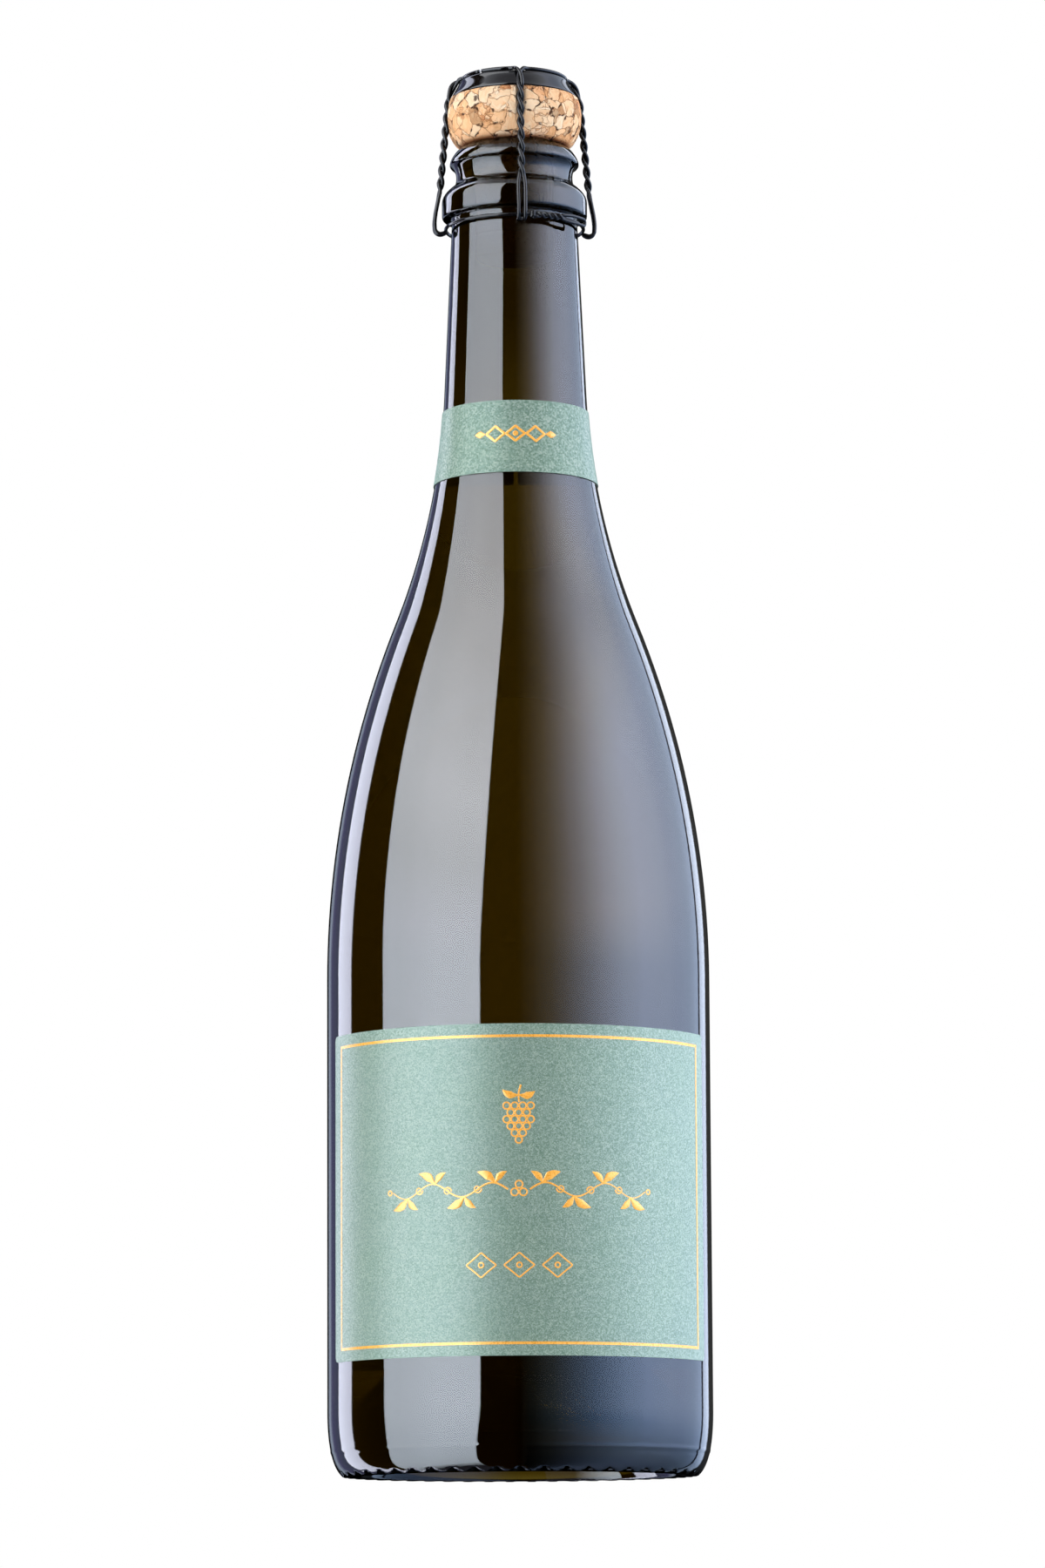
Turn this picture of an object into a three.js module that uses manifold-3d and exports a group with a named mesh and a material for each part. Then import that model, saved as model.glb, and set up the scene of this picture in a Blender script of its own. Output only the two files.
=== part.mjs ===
// A sparkling wine bottle: glass, wine, mushroom cork, wire hood and paper labels.
// Millimetres and degrees, +Z up, the front toward -Y, standing on Z = 0.
import * as THREE from 'three';
import { mergeVertices } from 'three/addons/utils/BufferGeometryUtils.js';
import loadManifold from 'manifold-3d';

// Glass: outside
const glassHeight = 306;
const bodyRadius = 43.5;
const heelSetback = 4.5;
const standWidth = 3;
const heelHeight = 14;
const shoulderStart = 112;
const shoulderRadius = 223.5;
const neckSweepRadius = 167;
const neckRadius = 14.5;
const neckTaper = 2.66;
const puntDepth = 30;

// Glass: lip, groove and ring, from the top of the lip down
const lipRadius = 14.95;
const lipDrop = 3.9;
const lipLandWidth = 1.4;
const mouthRound = 1.3;
const grooveDepth = 1.65;
const lipUnder = 2.4;
const grooveHeight = 2.6;
const ringRadius = 16.8;
const ringSlope = 3.9;
const ringFace = 3.7;
const ringUnder = 0.9;

// Glass: inside
const boreRadius = 9.3;
const boreRelief = 5;
const bodyWall = 4.85;
const neckWall = 4.6;
const innerHeelHeight = 21;
const troughSetback = 5.3;
const troughHeight = 9;
const floorThickness = 6.5;

// Wine
const fillLevel = 236;
const wineGap = 0.3;

// Labels
const labelThickness = 0.2;
const labelGap = 0.15;
const labelBase = 25;
const labelHeight = 73;
const frontLabelWidth = 106.5;
const backLabelWidth = 92;
const neckLabelBase = 226.5;
const neckLabelHeight = 17;
const neckLabelSeam = 3;

// Cork
const corkLength = 27;
const corkGap = 0.3;
const glueGap = 0.1;
const discThickness = 5.5;
const corkHeadRadius = 15.6;
const corkHeadHeight = 7;
const corkFootRadius = 12.6;
const corkShoulderRadius = 14.9;

// Cap plate
const plateRise = 15.9;
const plateRimRadius = 12.8;
const plateSkirtRadius = 14.5;
const plateDrop = 4;
const plateEdge = 1.3;
const plateThickness = 0.4;

// Cage wire
const wireRadius = 0.45;
const wireGap = 0.3;
const strandGap = 0.34;
const cageTurn = 5.5;
const cageRingInset = 0.7;
const cageRingEnds = 0.8;
const legTurns = 3.5;
const legSpread = 0.5;
const eyeSlot = 0.5;
const eyeClearance = 1.3;
const eyeSweep = 110;

// Belt wire and twist loop
const beltWireRadius = 0.42;
const beltGap = 1;
const beltDrop = 1;
const loopStrandGap = 0.36;
const loopStandOff = 0.6;
const loopLead = 1.2;
const loopTwistLength = 6.4;
const loopTurns = 2;
const loopEyeLength = 7.4;
const loopEyeSlot = 0.66;
const loopDrop = 0.6;
const knuckleWall = 0.33;

// Fineness of the meshes
const roundSides = 36;
const wireSides = 5;
const stepsPerTurn = 8;
const weldDistance = 1e-4;

// Places that follow from the sizes above
const degree = Math.PI / 180;
const standOuterRadius = bodyRadius - heelSetback;
const standInnerRadius = standOuterRadius - standWidth;
const troughRadius = bodyRadius - bodyWall - troughSetback;
const lipTop = glassHeight;
const lipSide = lipTop - lipDrop;
const grooveMiddle = lipSide - lipUnder;
const ringTop = grooveMiddle - grooveHeight;
const ringFaceTop = ringTop - ringSlope;
const ringFoot = ringFaceTop - ringFace;
const neckTop = ringFoot - ringUnder;
const boreFoot = lipTop - corkLength - boreRelief;
const plateTop = lipTop + plateRise;
const skirtFoot = plateTop - plateDrop;
const cageRingRadius = plateRimRadius - cageRingInset;
const cageRingHeight = plateTop + wireGap + wireRadius;
const strandOffset = wireRadius + strandGap / 2;
const pairRadius = strandOffset + wireRadius;
const eyeHalf = wireRadius + eyeSlot / 2;
const eyeReach = ringRadius + eyeClearance + wireRadius;
const beltRadius = neckRadius + beltGap + beltWireRadius;
const beltHeight = neckTop - beltDrop - beltWireRadius;
const eyeBend = (eyeReach - beltRadius) / 2;
const loopStrandOffset = beltWireRadius + loopStrandGap / 2;
const loopEyeHalf = beltWireRadius + loopEyeSlot / 2;
const knuckleRadius = beltWireRadius + knuckleWall;
const loopRadius = ringRadius + wireGap + loopStrandOffset + beltWireRadius;
const loopHeight = beltHeight - loopDrop;
const loopShift = eyeHalf + wireRadius + loopStandOff + knuckleRadius;
const loopTurn = cageTurn + Math.asin(loopShift / loopRadius) / degree;

const solids = await loadManifold();
solids.setup();

// Outlines

function point(radius, height) {
  return new THREE.Vector2(radius, height);
}

function arcPoints(centre, radius, startAngle, endAngle, steps) {
  const points = [];
  for (let step = 0; step <= steps; step += 1) {
    const angle = THREE.MathUtils.lerp(startAngle, endAngle, step / steps);
    points.push(point(centre.x + radius * Math.cos(angle), centre.y + radius * Math.sin(angle)));
  }
  return points;
}

function bezierPoints(start, startHandle, endHandle, end, steps) {
  return new THREE.CubicBezierCurve(start, startHandle, endHandle, end).getPoints(steps);
}

// One outline from several stretches, without the points that two stretches share
function joinStretches(...stretches) {
  return stretches.flat().filter((here, index, all) => {
    return index === 0 || here.distanceTo(all[index - 1]) > weldDistance;
  });
}

// The radius of an outline at a height, where its heights rise from point to point
function radiusAt(outline, height) {
  const upper = outline.findIndex((here) => here.y >= height);
  const above = outline[upper < 0 ? outline.length - 1 : Math.max(upper, 1)];
  const below = outline[(upper < 0 ? outline.length : Math.max(upper, 1)) - 1];
  if (above === below) return above.x;
  return THREE.MathUtils.mapLinear(height, below.y, above.y, below.x, above.x);
}

// An outline moved sideways, to the left of its direction, by a distance
function offsetOutline(outline, distance) {
  return outline.map((here, index) => {
    const before = outline[Math.max(index - 1, 0)];
    const after = outline[Math.min(index + 1, outline.length - 1)];
    const along = after.clone().sub(before).normalize();
    return point(here.x - along.y * distance, here.y + along.x * distance);
  });
}

// Solids

function turned(outline) {
  return new THREE.LatheGeometry(outline, roundSides).rotateX(Math.PI / 2);
}

// A wire's route, with one ring of the tube at each of its points
class WireRoute extends THREE.Curve {
  constructor(points) {
    super();
    this.spline = new THREE.CatmullRomCurve3(points);
  }

  getPointAt(share, target) {
    return this.spline.getPoint(share, target);
  }

  getTangentAt(share, target) {
    return this.spline.getTangent(share, target);
  }
}

function wire(points, radius) {
  const corners = [];
  for (let side = 0; side < wireSides; side += 1) {
    const angle = (2 * Math.PI * side) / wireSides;
    corners.push(point(radius * Math.cos(angle), radius * Math.sin(angle)));
  }
  return new THREE.ExtrudeGeometry(new THREE.Shape(corners), {
    steps: points.length - 1,
    extrudePath: new WireRoute(points),
    bevelEnabled: false,
  });
}

function toSolid(geometry) {
  const plain = new THREE.BufferGeometry();
  plain.setAttribute('position', geometry.getAttribute('position'));
  plain.setIndex(geometry.index);
  const welded = mergeVertices(plain, weldDistance);
  const corners = welded.index.array;
  const triangles = [];
  for (let first = 0; first < corners.length; first += 3) {
    const [a, b, c] = corners.slice(first, first + 3);
    if (a !== b && b !== c && c !== a) triangles.push(a, b, c);
  }
  return new solids.Manifold(new solids.Mesh({
    numProp: 3,
    vertProperties: new Float32Array(welded.getAttribute('position').array),
    triVerts: new Uint32Array(triangles),
  }));
}

function toGeometry(solid) {
  const mesh = solid.getMesh();
  const geometry = new THREE.BufferGeometry();
  geometry.setAttribute('position', new THREE.BufferAttribute(mesh.vertProperties, 3));
  geometry.setIndex(new THREE.BufferAttribute(mesh.triVerts, 1));
  return geometry;
}

// Glass bottle

// The side from the shoulder to the neck: two arcs that meet in a smooth bend, then the neck's cone
function shoulderOutline() {
  const taper = neckTaper * degree;
  const bothRadii = shoulderRadius + neckSweepRadius;
  const rise = neckTop - shoulderStart + neckSweepRadius * Math.sin(taper);
  const reach = neckRadius - bodyRadius + shoulderRadius + neckSweepRadius * Math.cos(taper);
  const slope = taper + Math.acos(((reach + rise * Math.tan(taper)) * Math.cos(taper)) / bothRadii);
  const shoulderCentre = point(bodyRadius - shoulderRadius, shoulderStart);
  const sweepCentre = point(
    shoulderCentre.x + bothRadii * Math.cos(slope),
    shoulderCentre.y + bothRadii * Math.sin(slope),
  );
  return joinStretches(
    arcPoints(shoulderCentre, shoulderRadius, 0, slope, 7),
    arcPoints(sweepCentre, neckSweepRadius, Math.PI + slope, Math.PI + taper, 6),
  );
}

function puntOutline() {
  const top = point(0, puntDepth);
  const foot = point(standInnerRadius, 0);
  const topHandle = point(0.47 * standInnerRadius, puntDepth);
  const footHandle = point(0.7 * standInnerRadius, 0.47 * puntDepth);
  return bezierPoints(top, topHandle, footHandle, foot, 6);
}

function heelOutline() {
  const foot = point(standOuterRadius, 0);
  const footHandle = point((standOuterRadius + bodyRadius) / 2, 0.1 * heelHeight);
  const topHandle = point(bodyRadius, 0.4 * heelHeight);
  return bezierPoints(foot, footHandle, topHandle, point(bodyRadius, heelHeight), 4);
}

// The neck's ring, the groove over it and the lip, from the neck up to the mouth
function finishOutline() {
  const grooveRadius = lipRadius - grooveDepth;
  const slopeTop = point(grooveRadius + 0.5, ringTop);
  const slopeFoot = point(ringRadius, ringFaceTop);
  const side = point(lipRadius, lipSide);
  const land = point(boreRadius + mouthRound + lipLandWidth, lipTop);
  return joinStretches(
    [
      point(neckRadius, neckTop),
      point(neckRadius + 0.15 * ringUnder, neckTop + 0.5 * ringUnder),
      point(ringRadius - 0.4 * ringUnder, neckTop + 0.75 * ringUnder),
      point(ringRadius, ringFoot),
    ],
    bezierPoints(
      slopeFoot,
      point(ringRadius, ringFaceTop + 0.4 * ringSlope),
      point(slopeTop.x + 1.6, ringTop - 0.3 * ringSlope),
      slopeTop,
      4,
    ),
    bezierPoints(
      slopeTop,
      point(grooveRadius, grooveMiddle - 0.4 * grooveHeight),
      point(grooveRadius, grooveMiddle + 0.6 * lipUnder),
      side,
      4,
    ),
    bezierPoints(side, point(lipRadius, lipSide + 0.3 * lipDrop), point(land.x + 1.2, lipTop), land, 4),
  );
}

const shoulder = shoulderOutline();
const glassSide = joinStretches(heelOutline(), shoulder, [point(neckRadius, neckTop)]);

// The hollow of the bottle, from the middle of its floor up to the foot of the bore
function hollowOutline() {
  const wallFoot = point(bodyRadius - bodyWall, innerHeelHeight);
  const trough = point(troughRadius, troughHeight);
  const floorTop = point(0, puntDepth + floorThickness);
  const floorHandle = point(0.57 * troughRadius, floorTop.y);
  const troughHandle = point(0.9 * troughRadius, troughHeight);
  const heelHandle = point(trough.x + 0.6 * (wallFoot.x - trough.x), troughHeight);
  const wallHandle = point(wallFoot.x, 0.5 * (innerHeelHeight + troughHeight));
  const wall = shoulder.map((here) => {
    const share = (here.y - shoulderStart) / (neckTop - shoulderStart);
    return point(here.x - THREE.MathUtils.lerp(bodyWall, neckWall, share), here.y);
  });
  return joinStretches(
    bezierPoints(floorTop, floorHandle, troughHandle, trough, 6),
    bezierPoints(trough, heelHandle, wallHandle, wallFoot, 3),
    wall,
    [point(boreRadius, boreFoot)],
  );
}

const hollow = hollowOutline();

function glassBottle() {
  const mouth = [point(boreRadius + mouthRound, lipTop), point(boreRadius, lipTop - mouthRound)];
  const inside = hollow.slice().reverse();
  return turned(joinStretches(puntOutline(), glassSide, finishOutline(), mouth, inside));
}

// Wine: the hollow filled to its level

function wine() {
  const filled = offsetOutline(hollow, wineGap).filter((here) => here.y < fillLevel);
  const wall = hollow.filter((here) => here.y >= shoulderStart);
  filled[0].x = 0;
  const surface = [point(radiusAt(wall, fillLevel) - wineGap, fillLevel), point(0, fillLevel)];
  return turned(joinStretches(filled, surface));
}

// Labels: sheets bent round the glass

function label(width, height, base, facing, segments, rows) {
  const sheet = new THREE.BoxGeometry(width, labelThickness, height, segments, 1, rows);
  const bendRadius = radiusAt(glassSide, base + height / 2);
  const places = sheet.getAttribute('position');
  for (let index = 0; index < places.count; index += 1) {
    const angle = places.getX(index) / bendRadius + facing * degree;
    const z = base + height / 2 + places.getZ(index);
    const lift = labelGap + labelThickness / 2 - places.getY(index);
    const radius = radiusAt(glassSide, z) + lift;
    places.setXYZ(index, radius * Math.sin(angle), -radius * Math.cos(angle), z);
  }
  return sheet;
}

function neckLabel() {
  const around = 2 * Math.PI * radiusAt(glassSide, neckLabelBase + neckLabelHeight / 2);
  return label(around - neckLabelSeam, neckLabelHeight, neckLabelBase, 0, roundSides, 4);
}

// Cage wire: a ring on the plate, and four legs of two twisted strands, each with an eye

// A place given by its angle from the front, radius, sideways shift and height
function place(angle, radius, sideways, height) {
  const turn = angle * degree;
  return new THREE.Vector3(
    radius * Math.sin(turn) + sideways * Math.cos(turn),
    sideways * Math.sin(turn) - radius * Math.cos(turn),
    height,
  );
}

const legTop = point(plateSkirtRadius + wireGap + wireRadius, skirtFoot);
const legFoot = point(ringRadius + legSpread, ringTop - 0.25 * ringSlope);
const legSteps = Math.round(legTurns * stepsPerTurn);
const legTwist = (2 * Math.PI) / stepsPerTurn;
const eyeTipRise = -eyeHalf * Math.cos(eyeSweep * degree) - eyeBend * Math.sin(eyeSweep * degree);
const eyeTipHeight = beltHeight - beltWireRadius - wireGap - wireRadius;
const eyeCentre = point(eyeReach - eyeBend, eyeTipHeight - eyeTipRise);

// The side of the eye that a strand comes out on, after the turns of its leg
function eyeSide(side) {
  return side * Math.sign(Math.cos(legSteps * legTwist));
}

// One strand of a leg, from the ring on the plate down to the tip of the eye
function strand(angle, side) {
  const ringEnd = point(cageRingRadius, cageRingHeight);
  const overRim = new THREE.QuadraticBezierCurve(ringEnd, point(plateRimRadius, cageRingHeight), legTop);
  const points = [];
  for (const share of [0.3, 0.55, 0.8]) {
    const here = overRim.getPoint(share);
    const sideways = side * THREE.MathUtils.lerp(3 * strandOffset, strandOffset, Math.min(2 * share, 1));
    points.push(place(angle, here.x, sideways, here.y));
  }
  for (let step = 0; step <= legSteps; step += 1) {
    const centre = legTop.clone().lerp(legFoot, step / legSteps);
    const sideways = side * strandOffset * Math.cos(step * legTwist);
    points.push(place(angle, centre.x - side * strandOffset * Math.sin(step * legTwist), sideways, centre.y));
  }
  const eyeTop = point(eyeReach, eyeCentre.y + 2);
  const aside = eyeSide(side) * eyeHalf;
  points.push(place(angle, (2 * legFoot.x + eyeTop.x) / 3, aside, (2 * legFoot.y + eyeTop.y) / 3));
  points.push(place(angle, eyeTop.x, aside, eyeTop.y));
  for (const here of arcPoints(eyeCentre, eyeBend, 0, -eyeSweep * degree, 5)) {
    points.push(place(angle, here.x, aside, here.y));
  }
  return points;
}

// The bend at the tip of an eye, which joins its two strands, from one side to the other
function eyeTip(angle, side) {
  const end = arcPoints(eyeCentre, eyeBend, 0, -eyeSweep * degree, 1)[1];
  const along = point(-Math.sin(eyeSweep * degree), -Math.cos(eyeSweep * degree));
  return [60, 30, 0, -30, -60].map((bend) => {
    const forward = eyeHalf * Math.cos(bend * degree);
    const sideways = side * eyeHalf * Math.sin(bend * degree);
    return place(angle, end.x + along.x * forward, sideways, end.y + along.y * forward);
  });
}

function ringStretch(startAngle, endAngle) {
  const points = [];
  const steps = Math.max(2, Math.round((endAngle - startAngle) / 14));
  for (let step = 0; step <= steps; step += 1) {
    const angle = THREE.MathUtils.lerp(startAngle, endAngle, step / steps);
    points.push(place(angle, cageRingRadius, 0, cageRingHeight));
  }
  return points;
}

function cageWire() {
  const bend = (3.5 * strandOffset) / cageRingRadius / degree;
  const halfGap = cageRingEnds / 2 / cageRingRadius / degree;
  const points = [];
  for (let leg = 0; leg < 4; leg += 1) {
    const angle = cageTurn + 90 * leg;
    const start = leg === 0 ? angle - 45 + halfGap : angle - 90 + bend;
    points.push(...ringStretch(start, angle - bend));
    points.push(...strand(angle, -1), ...eyeTip(angle, eyeSide(-1)), ...strand(angle, 1).reverse());
  }
  points.push(...ringStretch(cageTurn + 270 + bend, cageTurn + 315 - halfGap));
  return wire(points, wireRadius);
}

// Cork

function corkDisc(base) {
  const radius = boreRadius - corkGap;
  return turned([point(0, base), point(radius, base), point(radius, base + discThickness),
    point(0, base + discThickness)]);
}

const lowerDiscBase = lipTop - corkLength;
const upperDiscBase = lowerDiscBase + discThickness + glueGap;
const corkBase = upperDiscBase + discThickness + glueGap;

// The mushroom cork, with the channels that the legs of the cage press into its head
function corkBody() {
  const shank = boreRadius - corkGap;
  const seat = lipTop + corkGap;
  const foot = point(corkFootRadius, seat);
  const widest = point(corkHeadRadius, lipTop + corkHeadHeight);
  const collar = point(corkShoulderRadius, skirtFoot - corkGap);
  const top = plateTop - plateThickness - corkGap;
  const underPlate = plateThickness + corkGap;
  const outline = joinStretches(
    [point(0, corkBase), point(shank, corkBase), point(shank, seat)],
    bezierPoints(foot, point(foot.x + 1.8, seat + 1.2), point(widest.x, widest.y - 2.8), widest, 4),
    bezierPoints(widest, point(widest.x, widest.y + 2.4), point(collar.x + 0.4, collar.y - 1.6), collar, 3),
    [
      point(plateSkirtRadius - underPlate, skirtFoot - corkGap),
      point(plateRimRadius - 0.8 * underPlate, top - plateEdge),
      point(plateRimRadius - plateEdge, top),
      point(0, top),
    ],
  );
  let body = toSolid(turned(outline));
  const channelTop = legTop.clone().add(legTop.clone().sub(legFoot).multiplyScalar(0.02));
  const channelFoot = legTop.clone().lerp(legFoot, 0.75);
  for (let leg = 0; leg < 4; leg += 1) {
    const angle = cageTurn + 90 * leg;
    const ends = [channelTop, channelFoot].map((end) => place(angle, end.x, 0, end.y));
    const line = new THREE.LineCurve3(...ends);
    const section = new THREE.Shape(arcPoints(point(0, 0), pairRadius + wireGap, 0, 1.75 * Math.PI, 7));
    const channel = new THREE.ExtrudeGeometry(section, { steps: 1, extrudePath: line, bevelEnabled: false });
    body = body.subtract(toSolid(channel));
  }
  return toGeometry(body);
}

// Cap plate: a shallow pressed cap over the cork

function capPlate() {
  const outside = [
    point(0, plateTop),
    point(plateRimRadius - plateEdge, plateTop),
    point(plateRimRadius - 0.3 * plateEdge, plateTop - 0.3 * plateEdge),
    point(plateRimRadius, plateTop - plateEdge),
    point(plateSkirtRadius, skirtFoot),
  ];
  const inside = [
    point(plateSkirtRadius - plateThickness, skirtFoot),
    point(plateRimRadius - plateThickness, plateTop - plateThickness - 0.7 * plateEdge),
    point(plateRimRadius - plateEdge, plateTop - plateThickness),
    point(0, plateTop - plateThickness),
  ];
  return turned(joinStretches(outside, inside).reverse());
}

// Belt wire: nearly a ring, its two ends bent out to the twist loop

function beltWire() {
  const endRadius = loopRadius - knuckleRadius - wireGap;
  const endShift = beltWireRadius + 0.7 * wireGap;
  const bendShift = endShift + 4 * beltWireRadius;
  const bend = (bendShift / beltRadius) / degree;
  const steps = 44;
  const points = [place(loopTurn, endRadius, endShift, beltHeight)];
  points.push(place(loopTurn, (endRadius + beltRadius) / 2, 1.05 * endShift, beltHeight));
  points.push(place(loopTurn, beltRadius + 0.25 * beltWireRadius, endShift + beltWireRadius, beltHeight));
  for (let step = 0; step <= steps; step += 1) {
    const angle = THREE.MathUtils.lerp(loopTurn + bend, loopTurn + 360 - bend, step / steps);
    points.push(place(angle, beltRadius, 0, beltHeight));
  }
  points.push(place(loopTurn, beltRadius + 0.25 * beltWireRadius, -endShift - beltWireRadius, beltHeight));
  points.push(place(loopTurn, (endRadius + beltRadius) / 2, -1.05 * endShift, beltHeight));
  points.push(place(loopTurn, endRadius, -endShift, beltHeight));
  return wire(points, beltWireRadius);
}

// Twist loop: two strands twisted together along the ring, then an eye, on a knuckle that turns

function twistLoop() {
  const degreesPerLength = 1 / loopRadius / degree;
  const twistStart = loopTurn + loopLead * degreesPerLength;
  const eyeStart = twistStart + loopTwistLength * degreesPerLength;
  const eyeEnd = eyeStart + loopEyeLength * degreesPerLength;
  const twistSteps = loopTurns * stepsPerTurn;
  const upperStrand = [place(loopTurn, loopRadius, 0, loopHeight + loopStrandOffset)];
  const lowerStrand = [place(loopTurn, loopRadius, 0, loopHeight - loopStrandOffset)];
  for (let step = 0; step <= twistSteps; step += 1) {
    const angle = THREE.MathUtils.lerp(twistStart, eyeStart, step / twistSteps);
    const twist = (2 * Math.PI * step) / stepsPerTurn;
    const out = loopStrandOffset * Math.sin(twist);
    const up = loopStrandOffset * Math.cos(twist);
    upperStrand.push(place(angle, loopRadius + out, 0, loopHeight + up));
    lowerStrand.push(place(angle, loopRadius - out, 0, loopHeight - up));
  }
  for (const share of [0.35, 0.7, 1]) {
    const angle = THREE.MathUtils.lerp(eyeStart, eyeEnd, share);
    upperStrand.push(place(angle, loopRadius, 0, loopHeight + loopEyeHalf));
    lowerStrand.push(place(angle, loopRadius, 0, loopHeight - loopEyeHalf));
  }
  const tip = [60, 30, 0, -30, -60].map((bend) => {
    const angle = eyeEnd + loopEyeHalf * Math.cos(bend * degree) * degreesPerLength;
    return place(angle, loopRadius, 0, loopHeight + loopEyeHalf * Math.sin(bend * degree));
  });
  const knuckleHeight = 2 * (loopStrandOffset + beltWireRadius);
  const knuckle = new THREE.CylinderGeometry(knuckleRadius, knuckleRadius, knuckleHeight, 12);
  const root = place(loopTurn, loopRadius, 0, loopHeight);
  knuckle.rotateX(Math.PI / 2).translate(root.x, root.y, root.z);
  const strands = wire([...upperStrand, ...tip, ...lowerStrand.reverse()], beltWireRadius);
  return toGeometry(toSolid(strands).add(toSolid(knuckle)));
}

// The bottle

function mesh(name, geometry, colour, roughness, metalness, opacity = 1) {
  const material = new THREE.MeshStandardMaterial({
    color: colour,
    roughness,
    metalness,
    opacity,
    transparent: opacity < 1,
  });
  const node = new THREE.Mesh(geometry, material);
  node.name = name;
  return node;
}

const labelColour = 0xa2c1b9;
const corkColour = 0xd8a66e;
const discColour = 0xdeb887;
const wireColour = 0x14151a;

const bottle = new THREE.Group();
bottle.add(
  mesh('glass_bottle', glassBottle(), 0x3a2f08, 0.04, 0, 0.6),
  mesh('wine', wine(), 0xc9a94a, 0.05, 0, 0.6),
  mesh('front_label', label(frontLabelWidth, labelHeight, labelBase, 0, 26, 1), labelColour, 0.45, 0.1),
  mesh('back_label', label(backLabelWidth, labelHeight, labelBase, 180, 22, 1), labelColour, 0.45, 0.1),
  mesh('neck_label', neckLabel(), labelColour, 0.45, 0.1),
  mesh('cork_body', corkBody(), corkColour, 0.85, 0),
  mesh('cork_disc_upper', corkDisc(upperDiscBase), discColour, 0.8, 0),
  mesh('cork_disc_lower', corkDisc(lowerDiscBase), discColour, 0.8, 0),
  mesh('cap_plate', capPlate(), wireColour, 0.25, 0.6),
  mesh('cage_wire', cageWire(), wireColour, 0.25, 0.6),
  mesh('belt_wire', beltWire(), wireColour, 0.25, 0.6),
  mesh('twist_loop', twistLoop(), wireColour, 0.25, 0.6),
);

export default bottle;
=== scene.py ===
import math

import bmesh
import bpy
from mathutils import Matrix, Vector, noise
from mathutils.geometry import interpolate_bezier


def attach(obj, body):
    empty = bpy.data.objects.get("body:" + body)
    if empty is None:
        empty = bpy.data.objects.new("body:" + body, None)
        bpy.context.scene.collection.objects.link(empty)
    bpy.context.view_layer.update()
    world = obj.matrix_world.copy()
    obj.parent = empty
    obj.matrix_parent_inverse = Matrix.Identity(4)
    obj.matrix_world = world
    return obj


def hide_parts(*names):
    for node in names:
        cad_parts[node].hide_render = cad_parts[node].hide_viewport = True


# Sparkling wine bottle: outlines and wires are in millimetres, makePiece brings them to metres
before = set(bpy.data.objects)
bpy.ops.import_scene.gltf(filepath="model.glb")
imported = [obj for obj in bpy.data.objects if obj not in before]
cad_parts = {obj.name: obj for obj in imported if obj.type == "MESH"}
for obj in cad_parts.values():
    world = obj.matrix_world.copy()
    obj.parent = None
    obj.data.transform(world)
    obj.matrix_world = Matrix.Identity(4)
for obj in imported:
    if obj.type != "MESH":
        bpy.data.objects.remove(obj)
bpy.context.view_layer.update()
scene = bpy.context.scene
scene.view_settings.view_transform = "Standard"
print("frame:", len(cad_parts), "nodes loaded")


# Outlines are lists of (radius, height)

def bezier(start, startHandle, endHandle, end, steps):
    corners = [Vector(corner) for corner in (start, startHandle, endHandle, end)]
    return [(spot.x, spot.y) for spot in interpolate_bezier(*corners, steps + 1)]


def arc(centre, radius, startAngle, endAngle, steps):
    spots = []
    for step in range(steps + 1):
        angle = startAngle + (endAngle - startAngle) * step / steps
        spots.append((centre[0] + radius * math.cos(angle), centre[1] + radius * math.sin(angle)))
    return spots


def straight(start, end, steps):
    return [tuple(Vector(start).lerp(Vector(end), step / steps)) for step in range(steps + 1)]


def joined(*stretches):
    outline = []
    for spot in (spot for stretch in stretches for spot in stretch):
        if not outline or (Vector(spot) - Vector(outline[-1])).length > 0.001:
            outline.append(spot)
    return outline


def radiusAt(outline, height):
    for below, above in zip(outline, outline[1:]):
        if below[1] <= height <= above[1] and above[1] > below[1]:
            share = (height - below[1]) / (above[1] - below[1])
            return below[0] + (above[0] - below[0]) * share
    return outline[-1][0]


def turnOutline(outline, steps):
    bm = bmesh.new()
    verts = [bm.verts.new((radius, 0, height)) for radius, height in outline]
    edges = [bm.edges.new(pair) for pair in zip(verts, verts[1:])]
    bmesh.ops.spin(bm, geom=verts + edges, cent=(0, 0, 0), axis=(0, 0, 1), angle=2 * math.pi,
                   steps=steps, use_merge=True)
    bmesh.ops.remove_doubles(bm, verts=bm.verts, dist=0.0005)
    bmesh.ops.recalc_face_normals(bm, faces=bm.faces)
    return bm


# A spot by its angle from the front, radius, sideways shift and height
def aroundAxis(angle, radius, sideways, height):
    turn = math.radians(angle)
    return Vector((radius * math.sin(turn) + sideways * math.cos(turn),
                   sideways * math.sin(turn) - radius * math.cos(turn), height))


def makePiece(name, bm, material, body, nodes=(), sharpAngle=None):
    bmesh.ops.scale(bm, vec=(0.001, 0.001, 0.001), verts=bm.verts)
    mesh = bpy.data.meshes.new(name)
    bm.to_mesh(mesh)
    bm.free()
    mesh.shade_smooth()
    if sharpAngle:
        mesh.set_sharp_from_angle(angle=math.radians(sharpAngle))
    piece = bpy.data.objects.new(name, mesh)
    scene.collection.objects.link(piece)
    mesh.materials.append(material)
    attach(piece, body)
    if nodes:
        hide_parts(*nodes)
    print("piece:", name, len(mesh.polygons), "faces")
    return piece


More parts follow.
